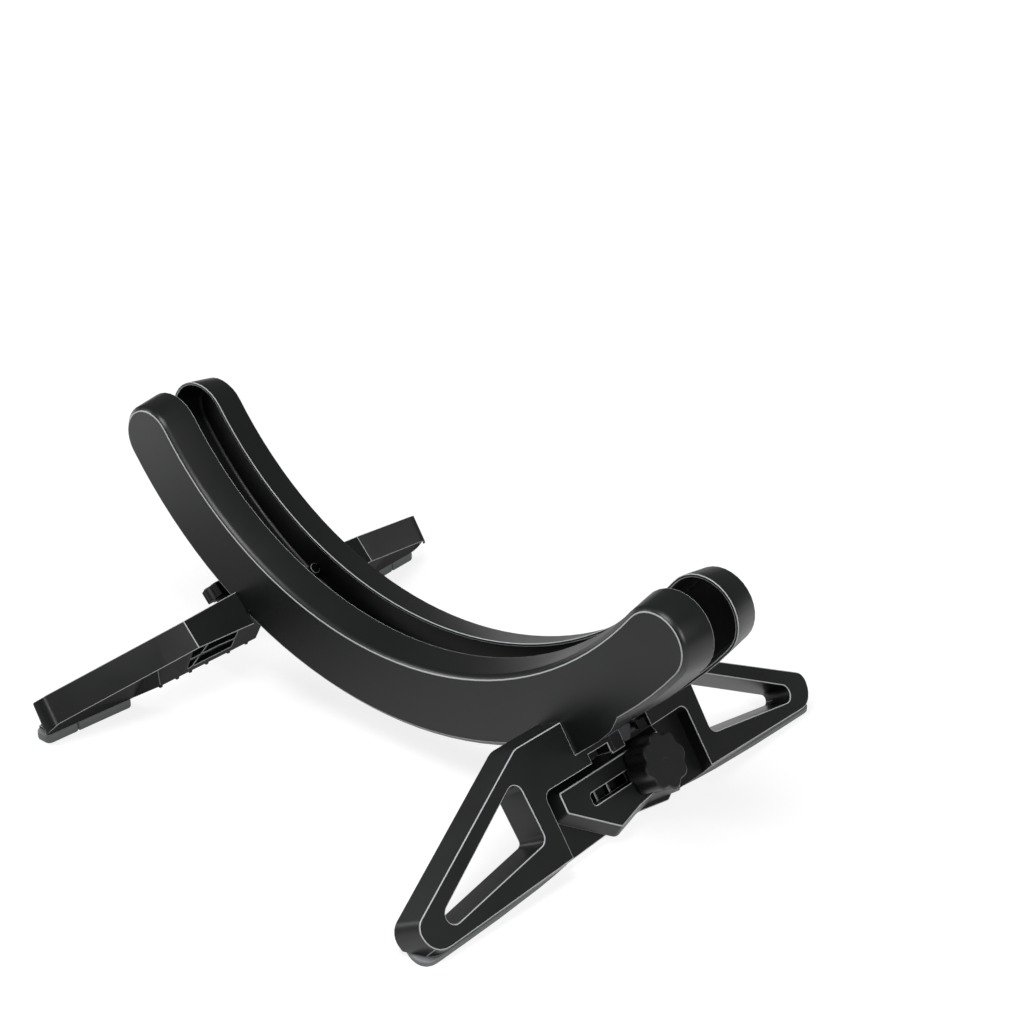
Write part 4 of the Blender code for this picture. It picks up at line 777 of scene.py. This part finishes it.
def front_foot(side):
    """Strip of rubber along the wing's front edge, bent round its tip."""
    way = 1 if side == "right" else -1
    shape = bmesh.new()
    corners = [shape.verts.new((x / 1000, way * y / 1000, 0)) for x, y in FRONT_FOOT_OUTLINE]
    face = shape.faces.new(corners)
    pulled = bmesh.ops.extrude_face_region(shape, geom=[face])
    for item in pulled["geom"]:
        if isinstance(item, bmesh.types.BMVert):
            item.co.z = FRONT_FOOT_TOP
    bmesh.ops.recalc_face_normals(shape, faces=shape.faces[:])
    weigh_corners(shape, FRONT_FOOT_CORNER)
    foot = object_from(shape, f"{side}_front_foot")
    add_corner_radius(foot, FRONT_FOOT_CORNER, 0)
    return foot


def strip_across(node_name, level_y):
    """Middle and width, along X, of a strip-like part at a distance from the middle plane."""
    mesh = nodes[node_name].data
    crossings = []
    for edge in mesh.edges:
        a, b = [mesh.vertices[index].co for index in edge.vertices]
        if (a.y - level_y) * (b.y - level_y) < 0:
            crossings.append(a.x + (b.x - a.x) * (level_y - a.y) / (b.y - a.y))
    return (min(crossings) + max(crossings)) / 2, max(crossings) - min(crossings)


def cut_grooves(foot, node_name):
    """Cut grooves along the underside of a foot, between margins on the model's strip."""
    low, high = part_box(node_name)
    first_y, last_y = low.y + GROOVE_END_MARGIN, high.y - GROOVE_END_MARGIN
    (first_x, first_width), (last_x, last_width) = [strip_across(node_name, y) for y in (first_y, last_y)]
    run_tree(foot.name, GROOVE_TREE, {
        "Count": int((last_y - first_y) / GROOVE_PITCH) + 1, "First X": first_x, "First Y": first_y,
        "Last X": last_x, "Last Y": last_y,
        "Length": min(first_width, last_width) - 2 * GROOVE_SIDE_MARGIN}, foot)


for side in ("right", "left"):
    feet = {f"{side}_front_pad": front_foot(side)}
    for part in ("outer", "inner"):
        pad = f"{side}_rear_pad_{part}"
        feet[pad] = rounded_copy(pad, REAR_FOOT_CORNER, segments=REAR_FOOT_STEPS)
    for pad, foot in feet.items():
        cut_grooves(foot, pad)
        put_on_body(foot, [GREY_RUBBER], "rubber_pads", pad)
print("height of the front feet in mm:", 1000 * FRONT_FOOT_TOP)

# %% [markdown]
# ## Ribs under the rear legs
# A leg's web is stiffened by thin ribs that end in small teeth below it. They are moulded in one with
# the leg, and could be cut into its copy. They are all one shape, though, repeated at uneven distances,
# so a tree pulls the outline up once and puts it on a point for each rib.

# %% Ribs
RIB_SIZES = {"Thickness": 0.003}
RIB_YS = (0.0345, 0.059, 0.0884, 0.1102, 0.1274, 0.149)
WEB_FOOT_X, WEB_FOOT_Z = -0.208, 0.0343
RIB_CORNERS = ((0.0005, 0.0014), (-0.0002, -0.0018), (-0.0022, -0.0018), (-0.0125, 0.0130))
QUARTER_TURN = math.pi / 2


def rib_tree():
    """Tree that puts a rib on each point, with its thickness along Y."""
    tree, size = shape_tree("ribs", RIB_SIZES)
    corners = {f"Point {number}": (x, z, 0) for number, (x, z) in enumerate(RIB_CORNERS, 1)}
    outline = add_node(tree, "GeometryNodeCurvePrimitiveQuadrilateral", corners, mode="POINTS")
    face = add_node(tree, "GeometryNodeFillCurve", {"Curve": outline}, mode="NGONS")
    rib = pulled_solid(tree, face, ((size["Thickness"], 1.0),))
    half = add_node(tree, "ShaderNodeMath", {0: size["Thickness"], 1: 0.5}, operation="MULTIPLY")
    middle = add_node(tree, "ShaderNodeCombineXYZ", {"Y": half})
    upright = add_node(tree, "GeometryNodeTransform",
                       {"Geometry": rib, "Rotation": (QUARTER_TURN, 0, 0), "Translation": middle})
    placed = add_node(tree, "GeometryNodeInstanceOnPoints",
                      {"Points": size["Geometry"], "Instance": upright})
    return end_tree(tree, placed, BLACK_PLASTIC)


RIB_TREE = rib_tree()
for side, way in (("right", -1), ("left", 1)):
    places = [(WEB_FOOT_X, way * y, WEB_FOOT_Z) for y in RIB_YS]
    start = loose_points(f"{side}_leg_ribs", places)
    ribs = run_tree(f"{side}_leg_ribs", RIB_TREE, RIB_SIZES, start)
    ribs.data.materials.clear()
    ribs.data.materials.append(BLACK_PLASTIC)
    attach(ribs, f"{side}_half")
print("ribs on each leg:", len(RIB_YS))

# %% [markdown]
# ## Floor
# The stand is shown on a plain white floor in soft light. More light would make the floor white, but it would
# wash out the black plastic, so the floor glows for the camera only, and a little less near the stand, where
# it takes a shadow. For reflections only, the floor also glows unevenly, a painted reflection: dim beside the
# rear legs and bright towards the front. The plastic mirrors it, and that painted reflection shades the flat
# sides of the rails from end to end.

# %% Floor
FLOOR_REACH = 9.0
FLOOR_COLOUR = "#9a9a9a"
GLOW_NEAR, GLOW_FAR = 0.82, 1.0
GLOW_NEAR_DISTANCE, GLOW_FAR_DISTANCE = 0.7, 1.8
# Levels along X of the painted reflection that glossy rays see in the floor.
PAINTED_REFLECTION_GLOW = ((-0.75, 1.0), (-0.6, 0.45), (-0.45, 0.05), (-0.2, 0.15), (0.05, 0.6), (0.5, 1.0), (1.2, 0.7))

floor_mesh = bpy.data.meshes.new("floor")
floor_corners = [(x * FLOOR_REACH, y * FLOOR_REACH, 0) for x, y in ((-1, -1), (1, -1), (1, 1), (-1, 1))]
floor_mesh.from_pydata(floor_corners, [], [(0, 1, 2, 3)])
floor = bpy.data.objects.new("floor", floor_mesh)
bpy.context.scene.collection.objects.link(floor)

floor_paint, floor_tree, floor_shader, floor_place = new_material("white_floor")
floor_shader.inputs["Base Color"].default_value = linear(FLOOR_COLOUR)
floor_shader.inputs["Roughness"].default_value = 0.9
floor_shader.inputs["Specular IOR Level"].default_value = 0.0
distance = add_node(floor_tree, "ShaderNodeVectorMath", {0: floor_place}, operation="LENGTH")
seen_glow = add_node(floor_tree, "ShaderNodeMapRange",
                     {"Value": distance.outputs["Value"], "To Min": GLOW_NEAR, "To Max": GLOW_FAR,
                      "From Min": GLOW_NEAR_DISTANCE, "From Max": GLOW_FAR_DISTANCE})
first_x, last_x = PAINTED_REFLECTION_GLOW[0][0], PAINTED_REFLECTION_GLOW[-1][0]
along_x = add_node(floor_tree, "ShaderNodeSeparateXYZ", {"Vector": floor_place})
share_x = add_node(floor_tree, "ShaderNodeMapRange",
                   {"Value": along_x.outputs["X"], "From Min": first_x, "From Max": last_x})
ramp = add_node(floor_tree, "ShaderNodeValToRGB", {"Fac": share_x})
stops = ramp.color_ramp.elements
for x, level in PAINTED_REFLECTION_GLOW:
    share = (x - first_x) / (last_x - first_x)
    if share in (0.0, 1.0):
        stop = stops[round(share) * (len(stops) - 1)]
    else:
        stop = stops.new(share)
    stop.color = (level, level, level, 1)

# Camera rays see the even glow; glossy rays see the ramp, a painted reflection that shades the rails.
floor_rays = add_node(floor_tree, "ShaderNodeLightPath")
camera_part = add_node(floor_tree, "ShaderNodeMath",
                       {0: floor_rays.outputs["Is Camera Ray"], 1: seen_glow}, operation="MULTIPLY")
glow_strength = add_node(floor_tree, "ShaderNodeMath",
                         {0: floor_rays.outputs["Is Glossy Ray"], 1: ramp, 2: camera_part},
                         operation="MULTIPLY_ADD")
glow = add_node(floor_tree, "ShaderNodeEmission", {"Color": (1, 1, 1, 1), "Strength": glow_strength})
floor_sum = add_node(floor_tree, "ShaderNodeAddShader", {0: floor_shader, 1: glow})
floor_tree.links.new(floor_sum.outputs[0], floor_tree.nodes["Material Output"].inputs["Surface"])
floor_mesh.materials.append(floor_paint)
print("floor:", 2 * FLOOR_REACH, "m wide")

# %% [markdown]
# ## Lamps and world
# Black plastic shows its shape by what it mirrors. Small bright lamps would give it hard spots, so three
# soft boxes stand above it, beside its rear and in front of it. They draw long soft highlights on the
# rails' rounded backs and on the wings' edges. The world is white to the camera and a faint fill to the
# stand.

# %% Lamps and world
LAMPS = {"top_lamp": {"place": (0.3, -0.7, 1.9), "aim": (0, 0, 0.1), "size": (0.8, 0.8), "watts": 20},
         "left_lamp": {"place": (-1.7, -0.9, 1.2), "aim": (0, 0, 0.1), "size": (0.5, 1.0), "watts": 15},
         "front_lamp": {"place": (2.2, -0.15, 1.3), "aim": (0, -0.1, 0.1), "size": (0.2, 0.9), "watts": 15}}
FILL_STRENGTH = 0.16

for name, lamp in LAMPS.items():
    data = bpy.data.lights.new(name, "AREA")
    data.shape = "RECTANGLE"
    data.size, data.size_y = lamp["size"]
    data.energy = lamp["watts"]
    holder = bpy.data.objects.new(name, data)
    holder.location = lamp["place"]
    holder.rotation_euler = (Vector(lamp["aim"]) - Vector(lamp["place"])).to_track_quat("-Z", "Y").to_euler()
    bpy.context.scene.collection.objects.link(holder)

world = bpy.data.worlds.new("studio")
bpy.context.scene.world = world
world.use_nodes = True
sky_tree = world.node_tree
sky_tree.nodes.clear()
rays = add_node(sky_tree, "ShaderNodeLightPath")
fill, seen = [add_node(sky_tree, "ShaderNodeBackground", {"Color": (1, 1, 1, 1), "Strength": strength})
              for strength in (FILL_STRENGTH, 1.0)]
mixed = add_node(sky_tree, "ShaderNodeMixShader", {0: rays.outputs["Is Camera Ray"], 1: fill, 2: seen})
add_node(sky_tree, "ShaderNodeOutputWorld", {"Surface": mixed})
bpy.context.scene.view_settings.view_transform = "Standard"
print("lamps:", ", ".join(LAMPS))
